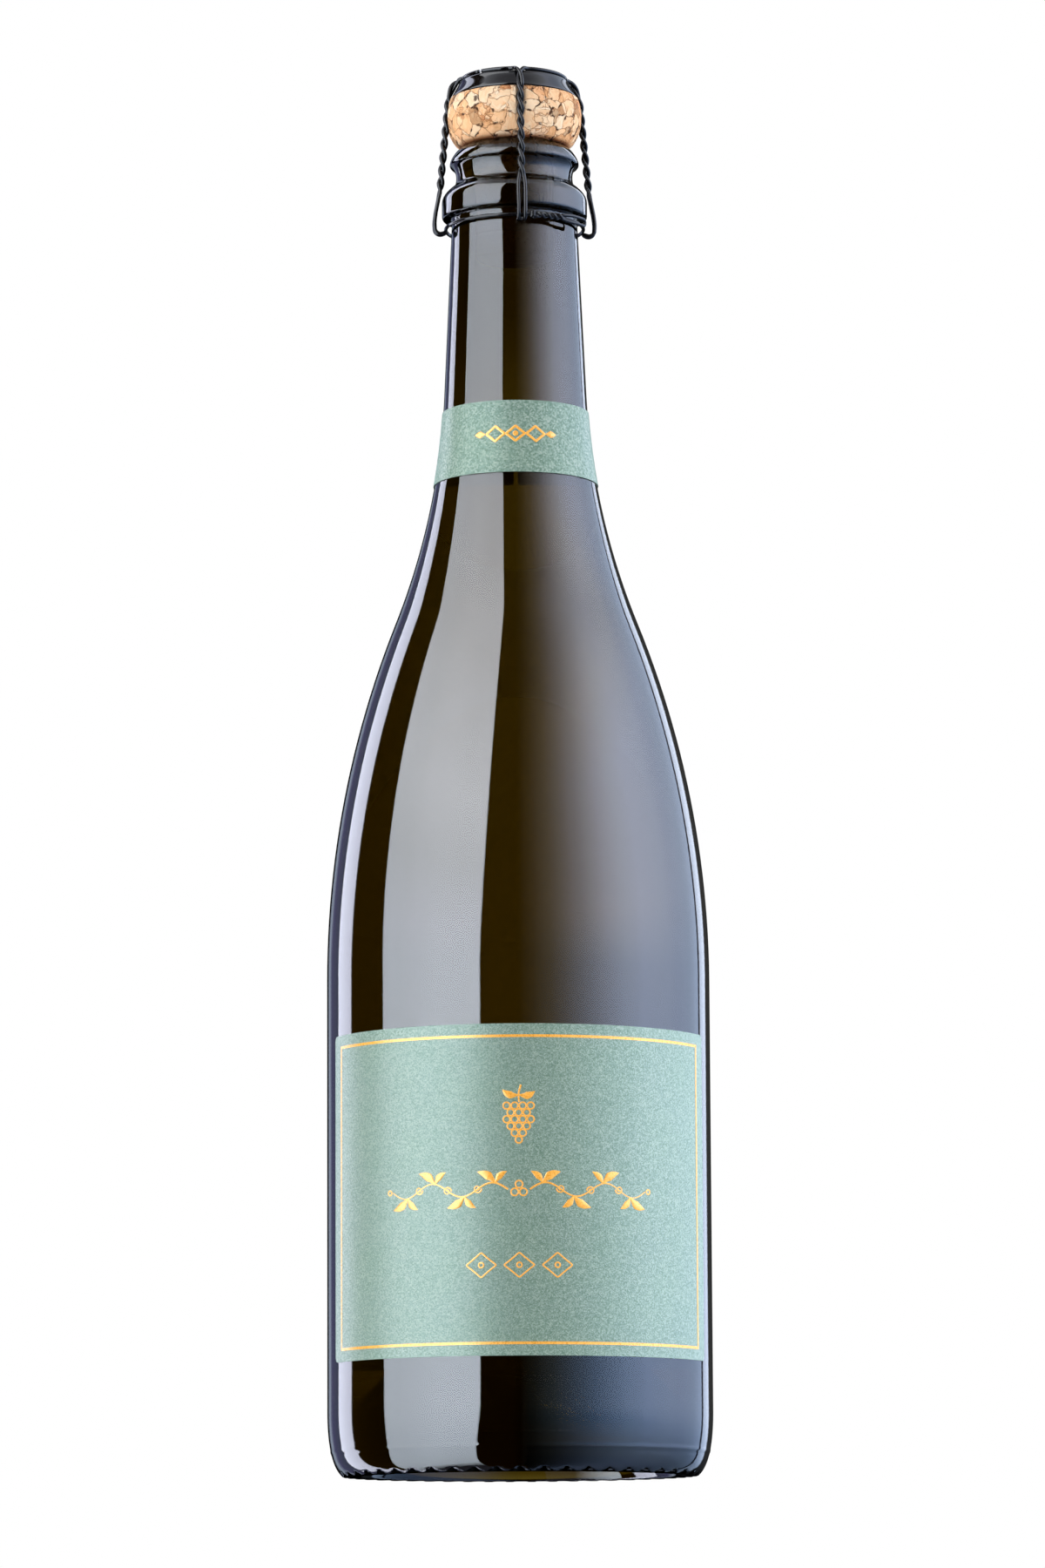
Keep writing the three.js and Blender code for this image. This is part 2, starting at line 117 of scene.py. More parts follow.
# Round stock bent along smooth routes; a knot is (x, y, z) or (x, y, z, thickness)
def bendStock(routes, radius, closed=False, fineness=4):
    curve = bpy.data.curves.new("route", "CURVE")
    curve.dimensions = "3D"
    curve.resolution_u = fineness
    curve.bevel_depth = radius
    curve.bevel_resolution = 4
    curve.use_fill_caps = True
    for route in routes:
        spline = curve.splines.new("BEZIER")
        spline.bezier_points.add(len(route) - 1)
        for knot, spot in zip(spline.bezier_points, route):
            knot.co = spot[:3]
            knot.radius = spot[3] if len(spot) > 3 else 1
            knot.handle_left_type = "AUTO"
            knot.handle_right_type = "AUTO"
        spline.use_cyclic_u = closed
    holder = bpy.data.objects.new("route", curve)
    scene.collection.objects.link(holder)
    bpy.context.view_layer.update()
    shape = holder.evaluated_get(bpy.context.evaluated_depsgraph_get())
    mesh = bpy.data.meshes.new_from_object(shape)
    bm = bmesh.new()
    bm.from_mesh(mesh)
    bpy.data.objects.remove(holder)
    bpy.data.curves.remove(curve)
    bpy.data.meshes.remove(mesh)
    bmesh.ops.remove_doubles(bm, verts=bm.verts, dist=0.0005)
    bmesh.ops.recalc_face_normals(bm, faces=bm.faces)
    return bm


# Node helpers: a value is a number, a colour or another node's output

def feed(tree, socket, value):
    if isinstance(value, bpy.types.NodeSocket):
        tree.links.new(value, socket)
    elif value is not None:
        socket.default_value = value


def calc(tree, operation, *values):
    node = tree.nodes.new("ShaderNodeMath")
    node.operation = operation
    for socket, value in zip(node.inputs, values):
        feed(tree, socket, value)
    return node.outputs[0]


def spread(tree, value, fromLow, fromHigh, toLow=0.0, toHigh=1.0, smooth=False):
    node = tree.nodes.new("ShaderNodeMapRange")
    node.interpolation_type = "SMOOTHSTEP" if smooth else "LINEAR"
    for name, given in (("Value", value), ("From Min", fromLow), ("From Max", fromHigh),
                        ("To Min", toLow), ("To Max", toHigh)):
        feed(tree, node.inputs[name], given)
    return node.outputs["Result"]


def mixColour(tree, factor, first, second, blend="MIX"):
    node = tree.nodes.new("ShaderNodeMix")
    node.data_type = "RGBA"
    node.blend_type = blend
    feed(tree, node.inputs[0], factor)
    feed(tree, node.inputs[6], first)
    feed(tree, node.inputs[7], second)
    return node.outputs[2]


def colourRamp(tree, factor, stops):
    node = tree.nodes.new("ShaderNodeValToRGB")
    elements = node.color_ramp.elements
    while len(elements) < len(stops):
        elements.new(0.5)
    for element, (position, colour) in zip(elements, stops):
        element.position = position
        element.color = (*colour, 1)
    feed(tree, node.inputs["Fac"], factor)
    return node.outputs["Color"]


def grain(tree, coords, scale, detail=2.0, roughness=0.5, stretch=None):
    if stretch:
        mapping = tree.nodes.new("ShaderNodeMapping")
        mapping.inputs["Scale"].default_value = stretch
        feed(tree, mapping.inputs["Vector"], coords)
        coords = mapping.outputs["Vector"]
    node = tree.nodes.new("ShaderNodeTexNoise")
    node.inputs["Scale"].default_value = scale
    node.inputs["Detail"].default_value = detail
    node.inputs["Roughness"].default_value = roughness
    feed(tree, node.inputs["Vector"], coords)
    return node


def cells(tree, coords, scale, feature="F1"):
    node = tree.nodes.new("ShaderNodeTexVoronoi")
    node.feature = feature
    node.inputs["Scale"].default_value = scale
    feed(tree, node.inputs["Vector"], coords)
    return node


def splitColour(tree, colour):
    node = tree.nodes.new("ShaderNodeSeparateColor")
    feed(tree, node.inputs[0], colour)
    return node.outputs


def splitAxes(tree, coords):
    node = tree.nodes.new("ShaderNodeSeparateXYZ")
    feed(tree, node.inputs[0], coords)
    return node.outputs


# A colour or a vector times a number
def scaled(tree, vector, amount):
    node = tree.nodes.new("ShaderNodeVectorMath")
    node.operation = "SCALE"
    feed(tree, node.inputs[0], vector)
    feed(tree, node.inputs["Scale"], amount)
    return node.outputs["Vector"]


def bumps(tree, height, strength, distance):
    node = tree.nodes.new("ShaderNodeBump")
    node.inputs["Strength"].default_value = strength
    node.inputs["Distance"].default_value = distance
    feed(tree, node.inputs["Height"], height)
    return node.outputs["Normal"]


def newMaterial(name):
    material = bpy.data.materials.new(name)
    material.use_nodes = True
    tree = material.node_tree
    coords = tree.nodes.new("ShaderNodeTexCoord").outputs["Object"]
    return material, tree, tree.nodes["Principled BSDF"].inputs, coords


# Something clear, that takes its colour from the depth of it
def clearMaterial(name, stuff):
    material, tree, inputs, coords = newMaterial(name)
    inputs["Base Color"].default_value = (1, 1, 1, 1)
    inputs["Roughness"].default_value = 0.0
    inputs["IOR"].default_value = stuff["ior"]
    inputs["Transmission Weight"].default_value = 1.0
    depth = tree.nodes.new("ShaderNodeVolumeAbsorption")
    depth.inputs["Color"].default_value = stuff["absorb"]
    depth.inputs["Density"].default_value = stuff["density"]
    feed(tree, tree.nodes["Material Output"].inputs["Volume"], depth.outputs["Volume"])
    return material, tree, inputs, coords


# Camera: below the foot of the bottle, looking a little upwards

view = {
    "distance": 1.4215, "height": -0.0446, "aside": 0.0012, "pitch": 8.09, "roll": -0.285,
    "lens": 144.2, "sensor": 36, "farthest": 50,
}


def makeCamera():
    camera = bpy.data.cameras.new("camera")
    camera.lens = view["lens"]
    camera.sensor_width = view["sensor"]
    camera.clip_end = view["farthest"]
    holder = bpy.data.objects.new("camera", camera)
    scene.collection.objects.link(holder)
    holder.matrix_world = (Matrix.Translation((view["aside"], -view["distance"], view["height"]))
                           @ Matrix.Rotation(math.radians(90 + view["pitch"]), 4, "X")
                           @ Matrix.Rotation(math.radians(view["roll"]), 4, "Z"))
    scene.camera = holder


makeCamera()
print("camera: set")


# Studio: white all round, soft lamps, and what gloss mirrors by its angle from the front

studio = {
    "softLevel": 0.42,
    "softbox": {
        "left": -88.3, "leftLean": -0.1, "leftFlare": -0.0115, "right": -24.0, "rightLean": 0.17,
        "edge": 0.7, "fade": (0.0, 38.0, 0.72),
        "levels": [(-62, (0.2, 0.2, 0.25)), (-50, (6.2, 7.0, 7.8)), (-20, (8.4, 9.4, 10.6)),
                   (5, (10.2, 11.2, 12.5)), (11, (10.6, 11.3, 12.6)), (18, (10.0, 10.6, 11.4)),
                   (26, (10.9, 11.4, 12.2)), (45, (8.8, 9.0, 9.4))],
    },
    "cards": [
        (-180, (0.0, 0.0, 0.0)), (-166, (0.0, 0.0, 0.0)), (-159, (0.6, 0.7, 0.9)), (-152, (0.2, 0.2, 0.4)),
        (-139, (0.25, 0.28, 0.45)), (-138, (4.4, 4.6, 5.5)), (-120.5, (5.4, 5.6, 6.8)),
        (-119.5, (0.1, 0.05, 0.0)), (0, (0.06, 0.02, 0.0)), (9, (0.42, 0.32, 0.2)),
        (20, (1.1, 0.95, 0.75)), (28, (1.8, 1.65, 1.6)), (38, (2.9, 2.85, 3.1)),
        (52, (4.9, 5.0, 5.8)), (67, (6.3, 6.8, 8.2)), (82, (6.2, 6.8, 8.6)),
        (97, (4.9, 5.5, 7.0)), (112, (3.2, 3.7, 4.9)), (126, (2.2, 2.65, 3.5)), (138, (1.9, 2.3, 3.1)),
        (139, (0.15, 0.15, 0.2)), (141, (0.15, 0.15, 0.2)), (142, (2.7, 3.05, 3.8)), (152, (2.6, 2.9, 3.5)),
        (154, (0.1, 0.1, 0.1)), (180, (0.0, 0.0, 0.0)),
    ],
    "rightSide": (-5.0, 5.0),
    "dimming": [(-60, (0.05, 0.07, 0.1)), (-40, (0.07, 0.1, 0.14)), (-25, (0.12, 0.16, 0.2)),
                (-14, (0.22, 0.28, 0.35)), (-3, (0.2, 0.33, 0.5)), (3, (0.33, 0.48, 0.67)),
                (8, (0.8, 0.86, 0.92)), (12, (1, 1, 1))],
    "highDimming": [(27, (1, 1, 1)), (36, (0.91, 0.87, 0.8)), (46, (0.62, 0.6, 0.57))],
    "rimLight": {"turn": (45.0, 160.0, 0.0, 0.9), "rise": (-14.0, 3.0, 0.1, 1.0)},
    "overhead": (53.0, 60.0),
    "ceiling": [(60, (2.4, 2.5, 2.7)), (70, (1.2, 1.2, 1.3)), (90, (1.0, 1.0, 1.05))],
    "lamps": [
        {"name": "keySun", "from": (-1.5, -0.64, 0.5), "strength": 2.1, "tint": (1.0, 0.93, 0.84)},
        {"name": "fillSun", "from": (1.6, -0.3, 0.3), "strength": 1.75, "tint": (1.0, 0.96, 0.93)},
        {"name": "backSun", "from": (0.3, 1.1, 1.2), "strength": 0.7, "tint": (1.0, 1.0, 1.0)},
        {"name": "lowLamp", "from": (0.45, -0.05, 0.05), "size": 0.2, "beam": 55,
         "strength": 0.2, "tint": (1.0, 0.98, 0.97)},
    ],
    "lampSpread": 35, "rampTop": 20, "floorGlow": 0.19, "floorReach": 4, "floorDrop": 0.0003,
}


# A ramp of light levels over angles from minus to plus the limit
# Its colours go up to one, so each level is divided by the top level
def levelRamp(tree, factor, levels, limit):
    top = studio["rampTop"]
    stops = [((angle + limit) / (2 * limit), tuple(part / top for part in level))
             for angle, level in levels]
    return mixColour(tree, 1.0, colourRamp(tree, factor, stops), (top, top, top, 1), "MULTIPLY")


def makeWorld():
    world = bpy.data.worlds.new("studio")
    scene.world = world
    world.use_nodes = True
    world.cycles.sampling_method = "NONE"
    tree = world.node_tree
    coords = tree.nodes.new("ShaderNodeTexCoord").outputs["Generated"]
    axes = splitAxes(tree, coords)
    toFront = calc(tree, "MULTIPLY", axes["Y"], -1.0)
    turn = calc(tree, "DEGREES", calc(tree, "ARCTAN2", axes["X"], toFront))
    rise = calc(tree, "DEGREES", calc(tree, "ARCSINE", axes["Z"]))
    around = spread(tree, turn, -180.0, 180.0)
    upward = spread(tree, rise, -90.0, 90.0)
    cards = levelRamp(tree, around, studio["cards"], 180)
    onRight = spread(tree, turn, *studio["rightSide"])
    rim = calc(tree, "MULTIPLY", spread(tree, turn, *studio["rimLight"]["turn"]),
               spread(tree, rise, *studio["rimLight"]["rise"]))
    dimmed = calc(tree, "MULTIPLY", onRight, calc(tree, "SUBTRACT", 1.0, rim))
    cards = mixColour(tree, dimmed, cards, levelRamp(tree, upward, studio["dimming"], 90), "MULTIPLY")
    cards = mixColour(tree, onRight, cards, levelRamp(tree, upward, studio["highDimming"], 90), "MULTIPLY")
    box = studio["softbox"]
    edge = box["edge"]
    leftEdge = calc(tree, "MULTIPLY_ADD", rise, box["leftLean"], box["left"])
    below = calc(tree, "MINIMUM", rise, 0.0)
    leftEdge = calc(tree, "MULTIPLY_ADD", calc(tree, "MULTIPLY", below, below), box["leftFlare"], leftEdge)
    rightEdge = calc(tree, "MULTIPLY_ADD", rise, box["rightLean"], box["right"])
    fromLeft = calc(tree, "SUBTRACT", turn, leftEdge)
    inLeft = spread(tree, fromLeft, -edge, edge, smooth=True)
    inRight = spread(tree, calc(tree, "SUBTRACT", turn, rightEdge), -edge, edge, 1.0, 0.0, smooth=True)
    fadeStart, fadeEnd, dimmest = box["fade"]
    glow = scaled(tree, levelRamp(tree, upward, box["levels"], 90),
                  spread(tree, fromLeft, fadeStart, fadeEnd, dimmest, 1.0))
    mirrored = mixColour(tree, calc(tree, "MULTIPLY", inLeft, inRight), cards, glow)
    overhead = spread(tree, rise, *studio["overhead"], smooth=True)
    mirrored = mixColour(tree, overhead, mirrored, levelRamp(tree, upward, studio["ceiling"], 90))
    rays = tree.nodes.new("ShaderNodeLightPath").outputs
    level = studio["softLevel"]
    seen = mixColour(tree, rays["Is Camera Ray"], (level, level, level, 1), (1, 1, 1, 1))
    seen = mixColour(tree, rays["Is Glossy Ray"], seen, mirrored)
    seen = mixColour(tree, rays["Is Transmission Ray"], seen, (1, 1, 1, 1))
    feed(tree, tree.nodes["Background"].inputs["Color"], seen)


def makeLamps():
    for lamp in studio["lamps"]:
        nearby = "size" in lamp
        light = bpy.data.lights.new(lamp["name"], "AREA" if nearby else "SUN")
        if nearby:
            light.size = lamp["size"]
            light.spread = math.radians(lamp["beam"])
        else:
            light.angle = math.radians(studio["lampSpread"])
        light.energy = lamp["strength"]
        light.color = lamp["tint"]
        holder = bpy.data.objects.new(lamp["name"], light)
        scene.collection.objects.link(holder)
        place = Vector(lamp["from"])
        target = Vector((0.0, 0.0, place.z if nearby else 0.0))
        aim = (target - place).to_track_quat("-Z", "Y")
        holder.matrix_world = Matrix.Translation(place) @ aim.to_matrix().to_4x4()
        holder.visible_camera = False
        holder.visible_glossy = False
        holder.visible_transmission = False


def makeFloor():
    material, tree, inputs, coords = newMaterial("paleFloor")
    tone = grain(tree, coords, 6.0, 3.0)
    feed(tree, inputs["Base Color"], colourRamp(tree, tone.outputs["Fac"],
                                                [(0.3, (0.9, 0.9, 0.9)), (0.7, (0.93, 0.93, 0.93))]))
    inputs["Roughness"].default_value = 0.9
    inputs["Specular IOR Level"].default_value = 0.1
    inputs["Emission Color"].default_value = (1, 1, 1, 1)
    seen = tree.nodes.new("ShaderNodeLightPath").outputs["Is Camera Ray"]
    feed(tree, inputs["Emission Strength"], calc(tree, "MULTIPLY", seen, studio["floorGlow"]))
    clear = tree.nodes.new("ShaderNodeBsdfTransparent")
    sides = tree.nodes.new("ShaderNodeMixShader")
    feed(tree, sides.inputs[0], tree.nodes.new("ShaderNodeNewGeometry").outputs["Backfacing"])
    feed(tree, sides.inputs[1], tree.nodes["Principled BSDF"].outputs[0])
    feed(tree, sides.inputs[2], clear.outputs[0])
    feed(tree, tree.nodes["Material Output"].inputs["Surface"], sides.outputs[0])
    bm = bmesh.new()
    bmesh.ops.create_grid(bm, x_segments=4, y_segments=4, size=studio["floorReach"])
    bmesh.ops.translate(bm, vec=(0, 0, -studio["floorDrop"]), verts=bm.verts)
    mesh = bpy.data.meshes.new("floor")
    bm.to_mesh(mesh)
    bm.free()
    mesh.materials.append(material)
    floor = bpy.data.objects.new("floor", mesh)
    scene.collection.objects.link(floor)
    floor.visible_glossy = False


makeWorld()
makeLamps()
makeFloor()
print("studio: world, lamps and floor set")


# Glass bottle

glass = {
    "height": 306, "bodyRadius": 43.5, "standOuter": 40, "standInner": 36.3, "heelHeight": 14,
    "shoulderStart": 112, "shoulderRadius": 223.5, "sweepRadius": 167, "neckRadius": 14.5, "neckTop": 288.6,
    "neckTaper": 2.66, "ringRadius": 16.8, "ringFace": (290.2, 293.2), "groove": (13.8, 297.1),
    "lip": (14.95, 302.35), "mouth": 304.7, "boreRadius": 9.3, "boreFoot": 274,
    "puntDepth": 30, "puntEdge": (35.6, 0.5), "bodyWall": 4.85, "neckWall": 4.6,
    "floorTop": 36.5, "floorSteps": 20, "trough": (33.35, 9), "innerHeel": 21,
    "knurls": 50, "knurlDepth": 1.1, "knurlFoot": 36.8, "knurlRun": 2.4, "knurlWidth": 1.15,
    "stepsPerKnurl": 6, "seamHeight": 5.4, "seamWidth": 0.45, "seamRise": 0.1,
    "ior": 1.5, "absorb": (0.48, 0.41, 0.0, 1), "density": 748, "waviness": 0.05,
    # painted shade on the neck: over these heights its reflections are dimmed by a darker specular tint
    "neckShadeSpan": (0.178, 0.232), "neckShadeTint": 0.68,
}


def shoulderOutline():
    taper = math.radians(glass["neckTaper"])
    bothRadii = glass["shoulderRadius"] + glass["sweepRadius"]
    rise = glass["neckTop"] - glass["shoulderStart"] + glass["sweepRadius"] * math.sin(taper)
    reach = (glass["neckRadius"] - glass["bodyRadius"] + glass["shoulderRadius"]
             + glass["sweepRadius"] * math.cos(taper))
    slope = taper + math.acos((reach + rise * math.tan(taper)) * math.cos(taper) / bothRadii)
    shoulderCentre = (glass["bodyRadius"] - glass["shoulderRadius"], glass["shoulderStart"])
    sweepCentre = (shoulderCentre[0] + bothRadii * math.cos(slope),
                   shoulderCentre[1] + bothRadii * math.sin(slope))
    return joined(arc(shoulderCentre, glass["shoulderRadius"], 0, slope, 24),
                  arc(sweepCentre, glass["sweepRadius"], math.pi + slope, math.pi + taper, 22))


shoulder = shoulderOutline()
heelTop = (glass["bodyRadius"], glass["heelHeight"])
neckTop = (glass["neckRadius"], glass["neckTop"])


# The heel, with the low seam of the mould round it
def heelOutline():
    heel = []
    for radius, height in bezier((glass["standOuter"], 0), (41.6, 1.3), (43.4, 4.6), heelTop, 46):
        offSeam = (height - glass["seamHeight"]) / glass["seamWidth"]
        heel.append((radius + glass["seamRise"] * math.exp(-offSeam ** 2), height))
    return heel


glassSide = joined(heelOutline(), straight(heelTop, shoulder[0], 8), shoulder,
                   straight(shoulder[-1], neckTop, 4))


# The ring, the groove over it and the lip
def finishOutline():
    ring = glass["ringRadius"]
    faceFoot, faceTop = glass["ringFace"]
    groove = glass["groove"]
    lip = glass["lip"]
    top = glass["height"]
    bore = glass["boreRadius"]
    under = (15.9, 289.3)
    lipFoot = (14.6, 301.75)
    return joined(
        bezier(neckTop, (14.52, 289.1), (14.9, 289.25), under, 6),
        bezier(under, (16.6, 289.35), (ring, 289.6), (ring, faceFoot), 6),
        straight((ring, faceFoot), (ring, faceTop), 3),
        bezier((ring, faceTop), (ring, 294.76), (15.4, 295.93), groove, 8),
        bezier(groove, (13.3, 298.5), (13.2, 301.1), lipFoot, 10),
        bezier(lipFoot, (14.85, 301.87), (lip[0], 302.05), lip, 4),
        bezier(lip, (lip[0], 303.3), (13.2, top), (12.0, top), 8),
        straight((12.0, top), (10.6, top), 1),
        bezier((10.6, top), (9.9, top), (bore, 305.4), (bore, glass["mouth"]), 5),
    )


# The hollow, from the middle of its floor up to the bore
def hollowOutline():
    top = glass["floorTop"]
    trough = glass["trough"]
    wallFoot = (glass["bodyRadius"] - glass["bodyWall"], glass["innerHeel"])
    wall = []
    for radius, height in shoulder:
        share = (height - glass["shoulderStart"]) / (glass["neckTop"] - glass["shoulderStart"])
        wall.append((radius - glass["bodyWall"] - (glass["neckWall"] - glass["bodyWall"]) * share, height))
    bore = glass["boreRadius"]
    steps = glass["floorSteps"]
    return joined(
        bezier((0, top), (0.57 * trough[0], top), (0.9 * trough[0], trough[1]), trough, steps),
        bezier(trough, (36.53, trough[1]), (wallFoot[0], 15), wallFoot, 10),
        straight(wallFoot, wall[0], 6), wall,
        bezier(wall[-1], (9.8, 268), (bore, 270), (bore, glass["boreFoot"]), 5),
    )


hollow = hollowOutline()


def glassMaterial():
    material, tree, inputs, coords = clearMaterial("bottleGlass", glass)
    # painted shade: a darker specular tint dims the reflections on the neck, fading in with height
    neckShadeShare = spread(tree, splitAxes(tree, coords)["Z"], *glass["neckShadeSpan"], smooth=True)
    tint = glass["neckShadeTint"]
    feed(tree, inputs["Specular Tint"], mixColour(tree, neckShadeShare, (1, 1, 1, 1), (tint, tint, tint, 1)))
    broad = grain(tree, coords, 45.0, 1.0, stretch=(1.0, 1.0, 0.45))
    fine = grain(tree, coords, 420.0, 2.0)
    height = calc(tree, "MULTIPLY_ADD", fine.outputs["Fac"], 0.02, broad.outputs["Fac"])
    feed(tree, inputs["Normal"], bumps(tree, height, glass["waviness"], 0.001))
    return material


def makeGlass():
    depth = glass["puntDepth"]
    edge = glass["puntEdge"]
    stand = (glass["standInner"], 0)
    finish = finishOutline()
    outline = joined(
        bezier((0, depth), (16.92, depth), (25.2, 14.1), edge, 22),
        bezier(edge, (35.8, 0.2), (35.9, 0), stand, 3),
        straight(stand, (glass["standOuter"], 0), 6),
        glassSide, finish, straight(finish[-1], hollow[-1], 4), list(reversed(hollow)),
    )
    bm = turnOutline(outline, glass["knurls"] * glass["stepsPerKnurl"])
    # grooves between the knurls of the standing ring
    for vert in bm.verts:
        radius = math.hypot(vert.co.x, vert.co.y)
        if vert.co.z < glass["knurlDepth"] and radius > glass["knurlFoot"]:
            ridge = abs(math.sin(glass["knurls"] / 2 * math.atan2(vert.co.x, -vert.co.y)))
            outward = min(1, (radius - glass["knurlFoot"]) / glass["knurlRun"])
            groove = max(0, 1 - glass["knurlWidth"] * ridge)
            vert.co.z = max(vert.co.z, glass["knurlDepth"] * groove * outward)
    makePiece("bottleShell", bm, glassMaterial(), "bottle", ["glass_bottle"])


makeGlass()


# Wine: reaches a hair into the glass, so that no air film shows between them

wine = {
    "level": 236, "intoGlass": 0.15, "meniscus": 0.8,
    "ior": 1.34, "absorb": (0.93, 0.84, 0.45, 1), "density": 14,
}


def makeWine():
    material, tree, inputs, coords = clearMaterial("goldenWine", wine)
    ripple = grain(tree, coords, 60.0, 1.0)
    feed(tree, inputs["Normal"], bumps(tree, ripple.outputs["Fac"], 0.01, 0.001))
    over = wine["intoGlass"]
    level = wine["level"]
    crest = level + wine["meniscus"]
    wall = hollow[glass["floorSteps"] + 1:]
    floor = [(radius, height - over) for radius, height in hollow[:glass["floorSteps"]]]
    side = [(radius + over, height) for radius, height in wall if height < level]
    rim = radiusAt(wall, crest)
    surface = bezier((rim + over, crest), (rim - 0.6, level + 0.1), (rim - 1.8, level), (0, level), 12)
    bm = turnOutline(joined(floor, side, surface), 128)
    makePiece("wineFill", bm, material, "bottle", ["wine"])


makeWine()


# Labels: pearl paper, cut flat with rounded corners and wrapped round the glass

labels = {
    "front": {"width": 106.5, "base": 25, "height": 73, "facing": 0, "corner": 1.2},
    "back": {"width": 92, "base": 25, "height": 73, "facing": 180, "corner": 1.2},
    "neck": {"base": 226.5, "height": 17, "facing": 0, "seam": 0.5, "corner": 0.4},
    "gap": 0.06, "thickness": 0.2, "cut": 1.6, "row": 4,
}


def paperMaterial(name, shade, gloss, fleckScale):
    material, tree, inputs, coords = newMaterial(name)
    flecks = cells(tree, coords, fleckScale)
    shimmer = grain(tree, coords, 0.6 * fleckScale, 3.0, 0.65)
    cloud = grain(tree, coords, 90.0, 2.0)
    fleck = splitColour(tree, flecks.outputs["Color"])
    tone = calc(tree, "MULTIPLY", shimmer.outputs["Fac"], 0.5)
    tone = calc(tree, "MULTIPLY_ADD", fleck["Red"], 0.5, tone)
    paper = colourRamp(tree, tone, [(0.2, (0.12, 0.225, 0.18)), (0.5, (0.232, 0.357, 0.31)),
                                    (0.8, (0.4, 0.52, 0.49))])
    warm = mixColour(tree, cloud.outputs["Fac"], (0.97 * shade, shade, 0.95 * shade, 1),
                     (shade, 0.99 * shade, 1.02 * shade, 1))
    feed(tree, inputs["Base Color"], mixColour(tree, 1.0, paper, warm, "MULTIPLY"))
    feed(tree, inputs["Roughness"], spread(tree, tone, 0.2, 0.8, 0.41, 0.31))
    inputs["Specular IOR Level"].default_value = gloss
    height = calc(tree, "MULTIPLY_ADD", shimmer.outputs["Fac"], 0.6, flecks.outputs["Distance"])
    feed(tree, inputs["Normal"], bumps(tree, height, 0.2, 0.0001))
    return material


# x runs round the glass, y up it and z out of it
def wrapRound(bm, facing, bendRadius, lift):
    for vert in bm.verts:
        angle = math.degrees(vert.co.x / bendRadius) + facing
        height = vert.co.y
        vert.co = aroundAxis(angle, radiusAt(glassSide, height) + lift + vert.co.z, 0, height)


def flatSheet(width, base, height):
    bm = bmesh.new()
    bmesh.ops.create_grid(bm, x_segments=1, y_segments=1, size=0.5)
    bmesh.ops.scale(bm, vec=(width, height, 1), verts=bm.verts)
    bmesh.ops.translate(bm, vec=(0, base + height / 2, 0), verts=bm.verts)
    return bm


# Even cuts across a sheet, so that it follows the round of the glass
def cutSheet(bm, start, length, strip, across):
    strips = int(length / strip)
    for step in range(1, strips):
        bmesh.ops.bisect_plane(bm, geom=bm.verts[:] + bm.edges[:] + bm.faces[:],
                               plane_co=Vector(across) * (start + length * step / strips), plane_no=across)


def thickenSheet(bm, thickness):
    top = bmesh.ops.extrude_face_region(bm, geom=bm.faces[:])
    raised = [part for part in top["geom"] if isinstance(part, bmesh.types.BMVert)]
    bmesh.ops.translate(bm, vec=(0, 0, thickness), verts=raised)


def cutLabel(label):
    bm = flatSheet(label["width"], label["base"], label["height"])
    bmesh.ops.bevel(bm, geom=bm.verts[:], offset=label["corner"], offset_type="OFFSET", affect="VERTICES",
                    segments=6, profile=0.5, material=-1)
    cutSheet(bm, -label["width"] / 2, label["width"], labels["cut"], (1, 0, 0))
    cutSheet(bm, label["base"], label["height"], labels["row"], (0, 1, 0))
    thickenSheet(bm, labels["thickness"])
    return bm


def bendRadiusOf(label):
    return radiusAt(glassSide, label["base"] + label["height"] / 2)


def makeLabels():
    pearl = paperMaterial("pearlPaper", 0.82, 0.38, 4500.0)
    # the neck label's copy of the pearl paper is lighter (0.93 against 0.82) as painted light for the neck;
    # its coarser flecks are its own
    papers = {"front": pearl, "back": pearl, "neck": paperMaterial("neckPaper", 0.93, 0.18, 2900.0)}
    neck = labels["neck"]
    neck["width"] = 2 * math.pi * bendRadiusOf(neck) - neck["seam"]
    for name in ("front", "back", "neck"):
        label = labels[name]
        bm = cutLabel(label)
        wrapRound(bm, label["facing"], bendRadiusOf(label), labels["gap"])
        bmesh.ops.recalc_face_normals(bm, faces=bm.faces)
        makePiece(name + "Paper", bm, papers[name], "bottle", [name + "_label"],
                  sharpAngle=50)


makeLabels()


# Gold foil: frame lines and a plain vine, grape and lozenge ornament, pressed on the paper

foil = {
    "frameWidth": 0.6, "frameSide": 3.5, "frameTop": 2.45, "frameThickness": 0.03, "frameLift": 0.004,
    "line": 0.17, "swell": 0.16, "lift": 0.012,
    "vineHeight": 61.4, "vineStart": 2.4, "vineReach": 30, "vineWave": 1.5, "waveLength": 13.8,
    "firstLeaf": 5.2, "vineEnd": 0.5, "vineBerry": 0.8, "tendril": 0.95,
    "grapeTop": 79.8, "berry": 0.74, "berryPitch": 1.76, "berryRow": 1.5, "berryRows": (4, 3, 4, 3, 2, 1),
    "lozengeHeight": 44.8, "lozenge": (3.3, 2.7), "lozengePitch": 8.4, "lozengeDot": 0.55,
    "neckHeight": 235.6, "neckLozenge": (2.1, 1.75), "neckPitch": 4.6, "neckWeight": 1.7,
    "neckDot": (0.35, 1.6), "neckLeaf": (7.0, 9.6),
}


def foilMaterial():
    material, tree, inputs, coords = newMaterial("goldFoil")
    fine = grain(tree, coords, 2600.0, 3.0)
    feed(tree, inputs["Base Color"], colourRamp(tree, fine.outputs["Fac"], [
        (0.3, (0.84, 0.37, 0.035)), (0.7, (0.97, 0.5, 0.09))]))
    inputs["Metallic"].default_value = 0.06
    inputs["Specular IOR Level"].default_value = 0.6
    feed(tree, inputs["Roughness"], spread(tree, fine.outputs["Fac"], 0.3, 0.7, 0.24, 0.36))
    feed(tree, inputs["Normal"], bumps(tree, fine.outputs["Fac"], 0.15, 0.00005))
    return material


